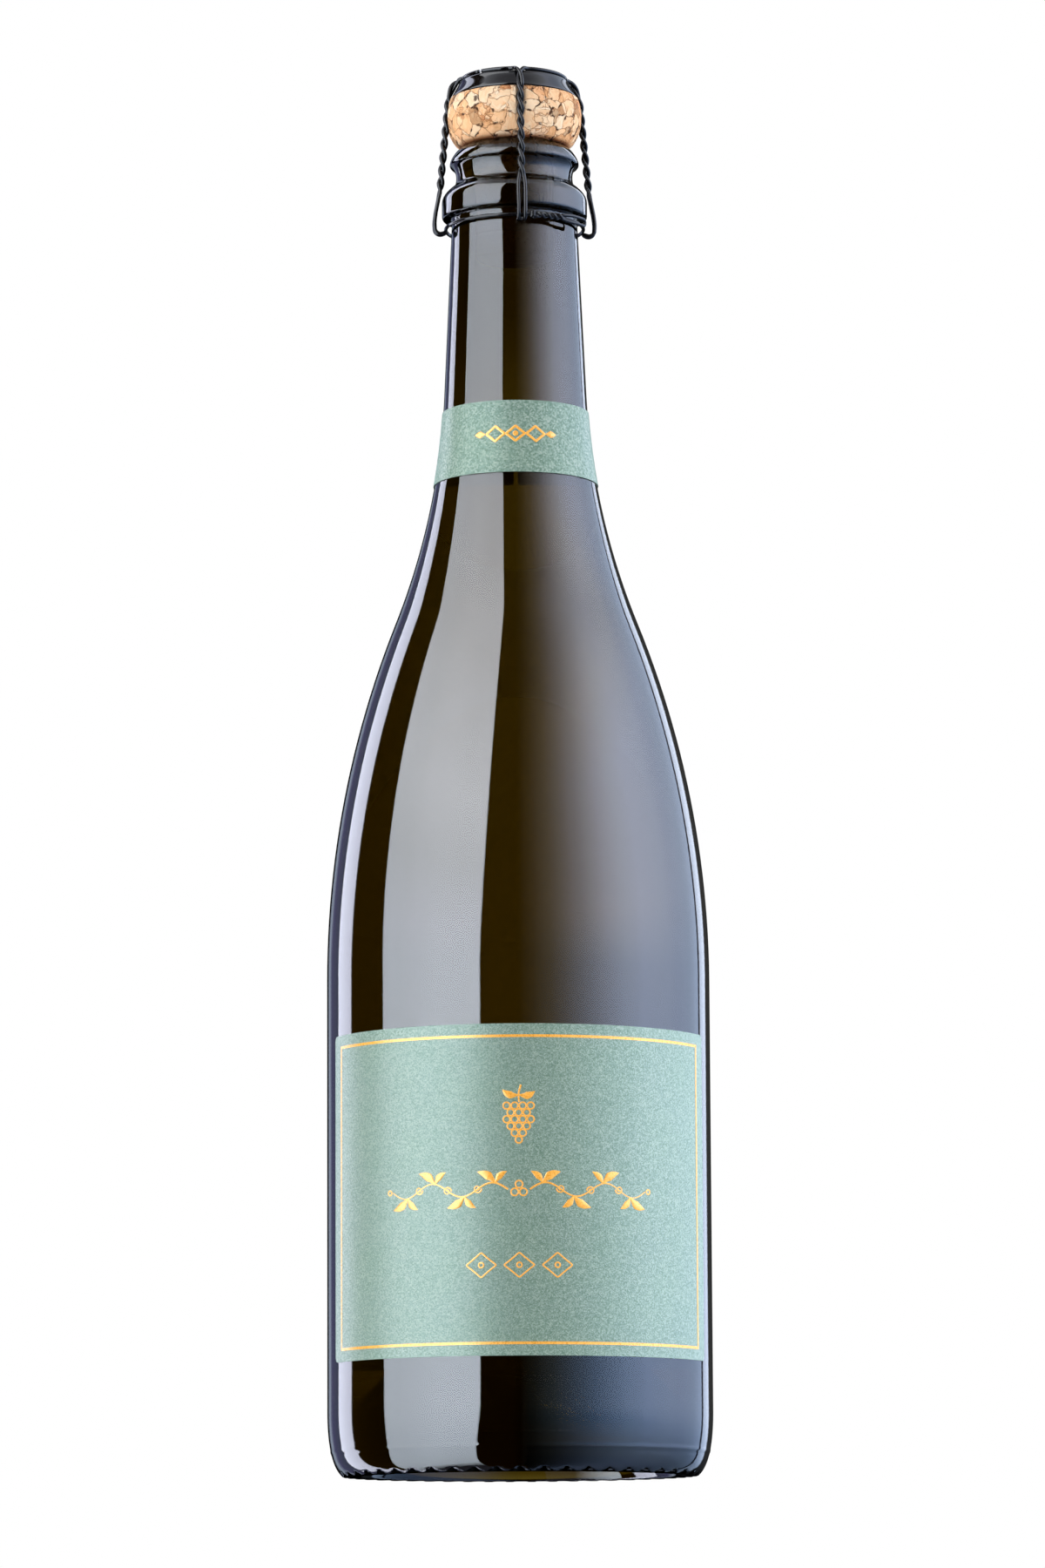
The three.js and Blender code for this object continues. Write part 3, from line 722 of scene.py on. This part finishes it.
def frameLine(label):
    bm = flatSheet(label["width"] - 2 * foil["frameSide"], label["base"] + foil["frameTop"],
                   label["height"] - 2 * foil["frameTop"])
    inner = bm.faces[:]
    bmesh.ops.inset_region(bm, faces=inner, thickness=foil["frameWidth"], use_boundary=True,
                           use_even_offset=True)
    bmesh.ops.delete(bm, geom=inner, context="FACES")
    cutSheet(bm, -label["width"] / 2, label["width"], labels["cut"], (1, 0, 0))
    thickenSheet(bm, foil["frameThickness"])
    return bm


# Strokes of the ornament: knots of (x, y, z, thickness)

def ringStroke(x, y, radius, weight=1.0):
    turns = [turn * math.pi / 4 for turn in range(8)]
    return [(x + radius * math.cos(turn), y + radius * math.sin(turn), 0, weight) for turn in turns]


def leafStroke(start, end, curl, width):
    begin = Vector(start)
    finish = Vector(end)
    side = Vector((begin.y - finish.y, finish.x - begin.x)) * curl
    widths = [(0, 0.6), (0.2, 0.5 * width), (0.45, width), (0.7, 0.75 * width), (0.9, 0.3 * width),
              (1, 0.15)]
    spots = []
    for share, swell in widths:
        spot = begin.lerp(finish, share) + side * math.sin(math.pi * share)
        spots.append((spot.x, spot.y, 0, swell))
    return spots


def tendrilStroke(x, y, radius, side, up):
    spots = []
    for step in range(15):
        turn = step * math.pi / 5
        reach = radius * (1 - step / 18)
        spots.append((x + side * (radius - reach * math.cos(turn)), y + up * reach * math.sin(turn), 0,
                      1 - 0.03 * step))
    return spots


def grapeStrokes():
    top = foil["grapeTop"]
    stems = [
        [(0.1, top + 0.8, 0, 1.2), (0.0, top + 2.6, 0, 1.1), (0.5, top + 4.6, 0, 1.3)],
        leafStroke((0.0, top + 2.4), (-3.6, top + 3.6), 0.16, 5.0),
        leafStroke((0.1, top + 2.4), (3.6, top + 3.2), -0.16, 5.0),
    ]
    rings = []
    for row, count in enumerate(foil["berryRows"]):
        for place in range(count):
            aside = (place - (count - 1) / 2) * foil["berryPitch"]
            rings.append(ringStroke(aside, top - foil["berryRow"] * row, foil["berry"]))
    return stems, rings


def vineStrokes():
    height = foil["vineHeight"]
    start = foil["vineStart"]
    length = foil["vineReach"] - start
    stems = []
    rings = []
    for side in (-1, 1):
        stem = []
        for step in range(33):
            along = length * step / 32
            wave = foil["vineWave"] * math.sin(2 * math.pi * along / foil["waveLength"])
            stem.append((side * (start + along), height + wave, 0, 1.25 - 0.02 * step))
        stems.append(stem)
        for index in range(4):
            along = foil["firstLeaf"] + foil["waveLength"] / 2 * index
            up = 1 if index % 2 == 0 else -1
            bow = 0.12 * side * up
            base = (side * along, height + 1.35 * up)
            stems.append(leafStroke(base, (side * (along + 4.0), height + up * 3.9), bow, 5.6))
            stems.append(leafStroke(base, (side * (along - 2.6), height + up * 4.0), -bow, 4.4))
            if index < 3:
                stems.append(tendrilStroke(side * (along + 3.0), height + 0.2 * up, foil["tendril"],
                                           side, -up))
        rings.append(ringStroke(side * (foil["vineReach"] + 0.9), height, foil["vineEnd"]))
    for x, y in ((0, 1.1), (-0.95, -0.6), (0.95, -0.6)):
        rings.append(ringStroke(x, height + y, foil["vineBerry"]))
    return stems, rings


def lozengeStroke(x, y, halfWidth, halfHeight, weight=1.0):
    corners = [(x - halfWidth, y), (x, y + halfHeight), (x + halfWidth, y), (x, y - halfHeight)]
    spots = []
    for here, there in zip(corners, corners[1:] + corners[:1]):
        for share in (0.02, 0.34, 0.66, 0.98):
            spot = Vector(here).lerp(Vector(there), share)
            spots.append((spot.x, spot.y, 0, weight))
    return spots


# Strokes of round stock, pressed nearly flat
def pressStrokes(stems, rings):
    bm = bmesh.new()
    for strokes, closed in ((stems, False), (rings, True)):
        if not strokes:
            continue
        part = bendStock(strokes, foil["line"], closed)
        mesh = bpy.data.meshes.new("stroke")
        part.to_mesh(mesh)
        part.free()
        bm.from_mesh(mesh)
        bpy.data.meshes.remove(mesh)
    bmesh.ops.scale(bm, vec=(1, 1, foil["swell"]), verts=bm.verts)
    return bm


def layFoil(name, bm, label, material, lift):
    wrapRound(bm, label["facing"], bendRadiusOf(label), labels["gap"] + labels["thickness"] + lift)
    bmesh.ops.recalc_face_normals(bm, faces=bm.faces)
    makePiece(name, bm, material, "bottle", sharpAngle=60)


def makeFoil():
    gold = foilMaterial()
    for name in ("front", "back"):
        layFoil(name + "FoilFrame", frameLine(labels[name]), labels[name], gold, foil["frameLift"])
    stems, rings = vineStrokes()
    layFoil("foilVine", pressStrokes(stems, rings), labels["front"], gold, foil["lift"])
    stems, rings = grapeStrokes()
    layFoil("foilGrapes", pressStrokes(stems, rings), labels["front"], gold, foil["lift"])
    low = foil["lozengeHeight"]
    places = [foil["lozengePitch"] * place for place in (-1, 0, 1)]
    rings = [lozengeStroke(x, low, *foil["lozenge"]) for x in places]
    rings += [ringStroke(x, low, foil["lozengeDot"]) for x in places]
    layFoil("foilLozenges", pressStrokes([], rings), labels["front"], gold, foil["lift"])
    high = foil["neckHeight"]
    leafFoot, leafTip = foil["neckLeaf"]
    rings = [ringStroke(0, high, *foil["neckDot"])]
    for place in (-1, 0, 1):
        aside = foil["neckPitch"] * place
        rings.append(lozengeStroke(aside, high, *foil["neckLozenge"], foil["neckWeight"]))
    leaves = [leafStroke((side * leafFoot, high), (side * leafTip, high), 0.0, 5.0) for side in (-1, 1)]
    layFoil("foilNeck", pressStrokes(leaves, rings), labels["neck"], gold, foil["lift"])


makeFoil()


# Cork: agglomerated mushroom cork, pressed in by the legs of the hood, over two natural discs

cork = {
    "seat": 306.3, "seatRadius": 12.2, "base": 290.2, "shank": 9.0, "belly": (15.6, 313), "collar": 317.6,
    "top": 320.7, "steps": 240, "dent": 1.02, "rough": 0.12, "discBases": (279, 284.6), "discHeight": 5.5,
    "discRough": 0.004, "chipScale": 300.0, "crumbScale": 720.0, "pitScale": 700.0,
    "warp": (0.005, 0.005, 0.004),
    # heights and strengths of the painted shade: a dark band at the lip, the shank below it a little darker
    "lipShadeTop": (0.3063, 0.3071, 0.9, 0.0), "lipShadeFoot": (0.3045, 0.3062, 0.25, 1.0),
    "tones": [(0.08, (0.48, 0.2, 0.09)), (0.28, (0.8, 0.44, 0.22)), (0.47, (0.94, 0.59, 0.34)),
              (0.66, (0.98, 0.73, 0.5)), (0.86, (0.99, 0.83, 0.65))],
}


def corkMaterial():
    material, tree, inputs, coords = newMaterial("corkChips")
    warp = grain(tree, coords, 260.0, 3.0)
    shift = tree.nodes.new("ShaderNodeVectorMath")
    shift.operation = "MULTIPLY_ADD"
    feed(tree, shift.inputs[0], warp.outputs["Color"])
    shift.inputs[1].default_value = cork["warp"]
    feed(tree, shift.inputs[2], coords)
    warped = shift.outputs[0]
    chips = cells(tree, warped, cork["chipScale"])
    seams = cells(tree, warped, cork["chipScale"], "DISTANCE_TO_EDGE")
    crumbs = cells(tree, warped, cork["crumbScale"])
    crumbSeams = cells(tree, warped, cork["crumbScale"], "DISTANCE_TO_EDGE")
    pick = splitColour(tree, chips.outputs["Color"])
    crumbPick = splitColour(tree, crumbs.outputs["Color"])
    # each chip is cut from the bark at its own angle
    spin = tree.nodes.new("ShaderNodeVectorRotate")
    spin.rotation_type = "EULER_XYZ"
    feed(tree, spin.inputs["Vector"], warped)
    feed(tree, spin.inputs["Rotation"], scaled(tree, chips.outputs["Color"], 3.0))
    layers = grain(tree, spin.outputs[0], 330.0, 4.0, 0.6, stretch=(0.6, 0.6, 3.0))
    layers.inputs["Distortion"].default_value = 1.2
    patchy = grain(tree, coords, 190.0, 3.0)
    crumbly = spread(tree, patchy.outputs["Fac"], 0.52, 0.6, smooth=True)
    chipTone = calc(tree, "MULTIPLY_ADD", layers.outputs["Fac"], 0.72, -0.1)
    chipTone = calc(tree, "MULTIPLY_ADD", pick["Red"], 0.5, chipTone)
    crumbTone = calc(tree, "MULTIPLY", calc(tree, "SUBTRACT", crumbPick["Green"], 0.5), 0.35)
    tone = calc(tree, "MULTIPLY_ADD", crumbTone, crumbly, chipTone)
    body = colourRamp(tree, tone, cork["tones"])
    rosy = spread(tree, pick["Green"], 0.6, 0.9, 0.0, 0.45)
    body = mixColour(tree, rosy, body, (0.98, 0.86, 0.84, 1), "MULTIPLY")
    dull = calc(tree, "MULTIPLY", calc(tree, "GREATER_THAN", pick["Blue"], 0.93), 0.55)
    body = mixColour(tree, dull, body, (0.33, 0.19, 0.1, 1))
    # seams between the chips: mostly hairlines, here and there an open dark gap
    seam = spread(tree, seams.outputs["Distance"], 0.0, 0.05, 1.0, 0.0, smooth=True)
    crumbSeam = spread(tree, crumbSeams.outputs["Distance"], 0.0, 0.07, 1.0, 0.0, smooth=True)
    seam = calc(tree, "MAXIMUM", seam, calc(tree, "MULTIPLY", crumbSeam, crumbly))
    body = mixColour(tree, calc(tree, "MULTIPLY", seam, 0.7), body, (0.34, 0.12, 0.035, 1))
    broken = grain(tree, coords, 420.0, 2.0)
    gape = spread(tree, broken.outputs["Fac"], 0.53, 0.62, smooth=True)
    gapWide = spread(tree, seams.outputs["Distance"], 0.02, 0.1, 1.0, 0.0, smooth=True)
    gap = calc(tree, "MULTIPLY", gape, gapWide)
    body = mixColour(tree, calc(tree, "MULTIPLY", gap, 0.95), body, (0.05, 0.017, 0.006, 1))
    holes = cells(tree, warped, cork["pitScale"])
    chosen = calc(tree, "GREATER_THAN", splitColour(tree, holes.outputs["Color"])["Blue"], 0.93)
    hollowed = spread(tree, holes.outputs["Distance"], 0.15, 0.4, 1.0, 0.0, smooth=True)
    pit = calc(tree, "MULTIPLY", chosen, hollowed)
    body = mixColour(tree, calc(tree, "MULTIPLY", pit, 0.9), body, (0.05, 0.017, 0.007, 1))
    # painted shade: a dark contact shadow where the head meets the lip, the shank below it a little darker
    upright = splitAxes(tree, coords)["Z"]
    lipShade = calc(tree, "MULTIPLY", spread(tree, upright, *cork["lipShadeTop"], smooth=True),
                spread(tree, upright, *cork["lipShadeFoot"], smooth=True))
    body = mixColour(tree, lipShade, body, (0.25, 0.11, 0.035, 1), "MULTIPLY")
    feed(tree, inputs["Base Color"], body)
    inputs["Specular IOR Level"].default_value = 0.2
    feed(tree, inputs["Roughness"], spread(tree, layers.outputs["Fac"], 0.3, 0.7, 0.6, 0.85))
    height = calc(tree, "MULTIPLY_ADD", seam, -0.35, calc(tree, "MULTIPLY", layers.outputs["Fac"], 0.6))
    height = calc(tree, "MULTIPLY_ADD", calc(tree, "MAXIMUM", pit, gap), -1.2, height)
    height = calc(tree, "MULTIPLY_ADD", pick["Green"], 0.3, height)
    feed(tree, inputs["Normal"], bumps(tree, height, 0.8, 0.0005))
    return material


def discMaterial():
    material, tree, inputs, coords = newMaterial("naturalCork")
    rings = grain(tree, coords, 260.0, 4.0, 0.6, stretch=(1.0, 4.0, 0.6))
    pores = cells(tree, coords, 900.0)
    pore = spread(tree, pores.outputs["Distance"], 0.12, 0.3, 1.0, 0.0, smooth=True)
    body = colourRamp(tree, rings.outputs["Fac"], [
        (0.3, (0.55, 0.3, 0.13)), (0.55, (0.74, 0.47, 0.24)), (0.8, (0.84, 0.6, 0.36))])
    body = mixColour(tree, calc(tree, "MULTIPLY", pore, 0.5), body, (0.25, 0.1, 0.04, 1))
    feed(tree, inputs["Base Color"], body)
    feed(tree, inputs["Roughness"], spread(tree, rings.outputs["Fac"], 0.3, 0.7, 0.65, 0.85))
    inputs["Specular IOR Level"].default_value = 0.3
    height = calc(tree, "SUBTRACT", rings.outputs["Fac"], pore)
    feed(tree, inputs["Normal"], bumps(tree, height, 0.4, 0.0003))
    return material


# Cage wire: a ring on the plate and four twisted legs, each ending in an eye under the belt

cage = {
    "wire": 0.45, "turn": 5.5, "legs": 4, "ring": 12.1, "ringHeight": 322.35, "ringEnds": 0.8,
    "rimHandle": (14.0, 322.45), "crossing": (0.2, 0.32, 0.44, 0.56, 0.68, 0.8, 0.9),
    "legTop": (15.25, 317.9), "legFoot": (17.3, 296.125),
    "halfTwists": 7, "stepsPerHalf": 5, "offset": 0.455,
    "spread": 1.5, "eyeHalf": 0.76, "eyeReach": 18.55, "eyeBend": 1.315, "eyeCentre": (17.235, 287.0),
    "eyeSweep": 110,
}


def legAngle(leg):
    return cage["turn"] + 360 / cage["legs"] * leg


def legSpot(share):
    return Vector(cage["legTop"]).lerp(Vector(cage["legFoot"]), share)


# The legs press their channels into the head of the cork
def pressChannels(vert):
    share = (cage["legTop"][1] - vert.co.z) / (cage["legTop"][1] - cage["legFoot"][1])
    reach = legSpot(share).x
    for leg in range(cage["legs"]):
        along = aroundAxis(legAngle(leg), reach, 0, vert.co.z).xy.normalized()
        sideways = abs(vert.co.x * along.y - vert.co.y * along.x)
        if sideways < cork["dent"] and vert.co.xy.dot(along) > 0:
            deepest = reach - math.sqrt(cork["dent"] ** 2 - sideways ** 2)
            if vert.co.xy.length > deepest:
                vert.co.xy *= deepest / vert.co.xy.length


def makeCork():
    base = cork["base"]
    seat = cork["seat"]
    seatEdge = (cork["seatRadius"], seat)
    shank = cork["shank"]
    belly = cork["belly"]
    collar = cork["collar"]
    ledge = collar + 0.1
    outline = joined(
        straight((0, base), (shank - 0.3, base), 4),
        straight((shank, base + 0.3), (shank, seat), 10),
        straight((shank + 0.5, seat), seatEdge, 4),
        bezier(seatEdge, (13.9, seat + 0.7), (belly[0], 309.6), belly, 18),
        bezier(belly, (belly[0], 315.4), (15.3, 316.6), (14.9, collar), 12),
        straight((14.6, ledge), (13.8, ledge), 2),
        straight((13.8, ledge), (12.0, 319.5), 3),
        straight((11.3, cork["top"]), (0, cork["top"]), 6),
    )
    bm = turnOutline(outline, cork["steps"])
    for vert in bm.verts:
        flat = Vector((vert.co.x, vert.co.y, 0))
        if flat.length > shank + 1 and vert.co.z < collar + 0.05:
            swell = noise.noise(vert.co * 0.45) + 0.5 * noise.noise(vert.co * 1.3)
            vert.co += flat.normalized() * cork["rough"] * swell
            pressChannels(vert)
    makePiece("mushroomCork", bm, corkMaterial(), "cork", ["cork_body"], sharpAngle=60)


def makeDiscs():
    natural = discMaterial()
    edge = cork["shank"]
    for name, base in zip(("lower", "upper"), cork["discBases"]):
        top = base + cork["discHeight"]
        outline = joined(
            straight((0, base), (edge - 0.4, base), 4),
            bezier((edge - 0.4, base), (edge - 0.15, base), (edge, base + 0.15), (edge, base + 0.4), 4),
            straight((edge, base + 0.4), (edge, top - 0.25), 6),
            straight((edge, top - 0.25), (edge - 0.25, top), 1),
            straight((edge - 0.25, top), (0, top), 4),
        )
        bm = turnOutline(outline, 96)
        for vert in bm.verts:
            vert.co.xy *= 1 + cork["discRough"] * noise.noise(vert.co * 0.9)
        makePiece(name + "Disc", bm, natural, "cork", ["cork_disc_" + name], sharpAngle=60)


makeCork()
makeDiscs()


# Lacquers

def lacquerMaterial(name, roughness, scuff, gloss):
    material, tree, inputs, coords = newMaterial(name)
    broad = grain(tree, coords, 260.0, 3.0, 0.6)
    fine = grain(tree, coords, 2400.0, 2.0)
    feed(tree, inputs["Base Color"], colourRamp(tree, broad.outputs["Fac"], [
        (0.35, (0.002, 0.002, 0.003)), (0.7, (0.006, 0.006, 0.008))]))
    scuffed = spread(tree, broad.outputs["Fac"], 0.3, 0.75, roughness, roughness + scuff)
    feed(tree, inputs["Roughness"], scuffed)
    inputs["Specular IOR Level"].default_value = gloss
    height = calc(tree, "MULTIPLY_ADD", fine.outputs["Fac"], 0.1, broad.outputs["Fac"])
    feed(tree, inputs["Normal"], bumps(tree, height, 0.05, 0.0002))
    return material


# Cap plate: pressed tinplate with a bead round its middle and a rolled edge

plate = {
    "top": 321.9, "rim": 12.9, "skirt": 14.55, "foot": 317.85, "thickness": 0.4, "roll": 0.2,
    "bead": 8.0, "beadRise": 0.35,
}


def makePlate():
    top = plate["top"]
    bead = plate["bead"]
    crest = top + plate["beadRise"]
    rim = plate["rim"]
    skirt = plate["skirt"]
    roll = plate["roll"]
    edge = plate["foot"] + roll
    wall = plate["thickness"]
    under = top - wall
    outside = joined(
        straight((0, top), (bead - 1.2, top), 4),
        bezier((bead - 1.2, top), (bead - 0.5, top), (bead - 0.6, crest), (bead, crest), 5),
        bezier((bead, crest), (bead + 0.6, crest), (bead + 0.5, top), (bead + 1.2, top), 5),
        straight((bead + 1.2, top), (rim - 1, top), 2),
        bezier((rim - 1, top), (rim - 0.35, top), (rim - 0.1, top - 0.25), (rim, top - 0.7), 7),
        bezier((rim, top - 0.7), (rim + 0.4, top - 1.7), (skirt - 0.3, edge + 0.8), (skirt, edge), 8),
        arc((skirt - roll, edge), roll, 0, -math.pi, 8),
    )
    inside = joined(
        straight((skirt - wall, edge), (rim - wall, top - 1), 5),
        bezier((rim - wall, top - 1), (rim - 0.5, top - 0.6), (rim - 0.8, under), (rim - 1.3, under), 4),
        straight((rim - 1.3, under), (0, under), 4),
    )
    bm = turnOutline(joined(outside, inside), 160)
    lacquer = lacquerMaterial("plateLacquer", 0.06, 0.05, 0.22)
    makePiece("tinPlate", bm, lacquer, "hood", ["cap_plate"])


makePlate()


# The side of the eye that a strand comes out on, after the crossing on the rim and the half twists
def eyeSide(side):
    return side if cage["halfTwists"] % 2 == 1 else -side


def legStrand(angle, side):
    spots = []
    offset = cage["offset"]
    start = Vector((cage["ring"], cage["ringHeight"]))
    handle = Vector(cage["rimHandle"])
    finish = Vector(cage["legTop"])
    firstShare = cage["crossing"][0]
    # the strands cross on the rim
    for share in cage["crossing"]:
        spot = start.lerp(handle, share).lerp(handle.lerp(finish, share), share)
        twist = math.pi * (share - firstShare) / (1 - firstShare)
        wide = offset + (cage["spread"] - offset) * (1 - share) ** 3
        aside = side * wide * math.cos(twist)
        spots.append(aroundAxis(angle, spot.x - side * offset * math.sin(twist), aside, spot.y))
    crossed = -side
    steps = cage["halfTwists"] * cage["stepsPerHalf"]
    for step in range(steps + 1):
        spot = legSpot(step / steps)
        twist = math.pi * step / cage["stepsPerHalf"]
        aside = crossed * offset * math.cos(twist)
        spots.append(aroundAxis(angle, spot.x - crossed * offset * math.sin(twist), aside, spot.y))
    foot = Vector(cage["legFoot"])
    eyeTop = Vector((cage["eyeReach"], cage["eyeCentre"][1] + 2))
    aside = eyeSide(side) * cage["eyeHalf"]
    spot = foot.lerp(eyeTop, 0.3)
    spots.append(aroundAxis(angle, spot.x, aside, spot.y))
    spots.append(aroundAxis(angle, eyeTop.x, aside, eyeTop.y))
    for spot in arc(cage["eyeCentre"], cage["eyeBend"], 0, -math.radians(cage["eyeSweep"]), 6):
        spots.append(aroundAxis(angle, spot[0], aside, spot[1]))
    return spots


def eyeTip(angle, side):
    sweep = math.radians(cage["eyeSweep"])
    end = arc(cage["eyeCentre"], cage["eyeBend"], 0, -sweep, 1)[1]
    spots = []
    for forward, aside in arc((0, 0), cage["eyeHalf"], math.radians(60), -math.radians(60), 4):
        spots.append(aroundAxis(angle, end[0] - math.sin(sweep) * forward, side * aside,
                                end[1] - math.cos(sweep) * forward))
    return spots


def ringStretch(startAngle, endAngle):
    swing = endAngle - startAngle
    steps = max(2, round(swing / 9))
    return [aroundAxis(startAngle + swing * step / steps, cage["ring"], 0, cage["ringHeight"])
            for step in range(steps + 1)]


def makeCage(material):
    bend = math.degrees(1.25 * cage["spread"] / cage["ring"])
    halfGap = math.degrees(cage["ringEnds"] / 2 / cage["ring"])
    legs = cage["legs"]
    route = []
    for leg in range(legs):
        angle = legAngle(leg)
        start = legAngle(-0.5) + halfGap if leg == 0 else legAngle(leg - 1) + bend
        route += ringStretch(start, angle - bend)
        route += legStrand(angle, -1) + eyeTip(angle, eyeSide(-1)) + list(reversed(legStrand(angle, 1)))
    route += ringStretch(legAngle(legs - 1) + bend, legAngle(legs - 0.5) - halfGap)
    bm = bendStock([route], cage["wire"], fineness=3)
    makePiece("hoodCage", bm, material, "hood", ["cage_wire"])


# Belt wire under the neck's ring, and the twisted loop that closes it

belt = {
    "wire": 0.42, "radius": 15.92, "height": 287.0, "steps": 60, "endShift": 0.63, "endRadius": 17.07,
    "loopWire": 0.4, "loopTurn": 13.43, "loopRadius": 18.12, "loopHeight": 286.58,
    "offset": 0.425, "lead": 1.2, "twistLength": 6.4, "twists": 2, "stepsPerTwist": 10,
    "eyeLength": 7.4, "eyeHalf": 0.75,
    "coil": 0.36, "coilTurns": 3, "coilRise": 1.24, "stepsPerCoil": 8,
}


def makeBelt(material):
    turn = belt["loopTurn"]
    shift = belt["endShift"]
    bend = math.degrees((shift + 4 * belt["wire"]) / belt["radius"])
    middle = (belt["endRadius"] + belt["radius"]) / 2
    near = belt["radius"] + 0.25 * belt["wire"]
    ends = [(belt["endRadius"], shift), (middle, 1.05 * shift), (near, shift + belt["wire"])]
    route = [aroundAxis(turn, radius, aside, belt["height"]) for radius, aside in ends]
    for step in range(belt["steps"] + 1):
        angle = turn + bend + (360 - 2 * bend) * step / belt["steps"]
        route.append(aroundAxis(angle, belt["radius"], 0, belt["height"]))
    route += [aroundAxis(turn, radius, -aside, belt["height"]) for radius, aside in reversed(ends)]
    bm = bendStock([route], belt["wire"], fineness=3)
    makePiece("hoodBelt", bm, material, "hood", ["belt_wire"])


def makeLoop(material):
    perLength = math.degrees(1 / belt["loopRadius"])
    twistStart = belt["loopTurn"] + belt["lead"] * perLength
    eyeStart = twistStart + belt["twistLength"] * perLength
    eyeEnd = eyeStart + belt["eyeLength"] * perLength
    height = belt["loopHeight"]
    radius = belt["loopRadius"]
    upper = [aroundAxis(belt["loopTurn"], radius, 0, height + belt["offset"])]
    lower = [aroundAxis(belt["loopTurn"], radius, 0, height - belt["offset"])]
    steps = belt["twists"] * belt["stepsPerTwist"]
    for step in range(steps + 1):
        angle = twistStart + (eyeStart - twistStart) * step / steps
        twist = 2 * math.pi * step / belt["stepsPerTwist"]
        out = belt["offset"] * math.sin(twist)
        up = belt["offset"] * math.cos(twist)
        upper.append(aroundAxis(angle, radius + out, 0, height + up))
        lower.append(aroundAxis(angle, radius - out, 0, height - up))
    for share in (0.35, 0.7, 1):
        angle = eyeStart + (eyeEnd - eyeStart) * share
        upper.append(aroundAxis(angle, radius, 0, height + belt["eyeHalf"]))
        lower.append(aroundAxis(angle, radius, 0, height - belt["eyeHalf"]))
    tip = []
    for forward, up in arc((0, 0), belt["eyeHalf"], math.radians(60), -math.radians(60), 4):
        tip.append(aroundAxis(eyeEnd + forward * perLength, radius, 0, height + up))
    root = aroundAxis(belt["loopTurn"], radius, 0, height)
    coil = []
    coilSteps = belt["coilTurns"] * belt["stepsPerCoil"]
    for step in range(coilSteps + 1):
        turn = 2 * math.pi * step / belt["stepsPerCoil"]
        rise = (step / coilSteps - 0.5) * belt["coilRise"]
        coil.append(root + Vector((belt["coil"] * math.cos(turn), belt["coil"] * math.sin(turn), rise)))
    bm = bendStock([upper + tip + list(reversed(lower)), coil], belt["loopWire"], fineness=3)
    makePiece("hoodLoop", bm, material, "loop", ["twist_loop"])


wireLacquer = lacquerMaterial("wireLacquer", 0.04, 0.04, 0.2)
makeCage(wireLacquer)
makeBelt(wireLacquer)
makeLoop(wireLacquer)
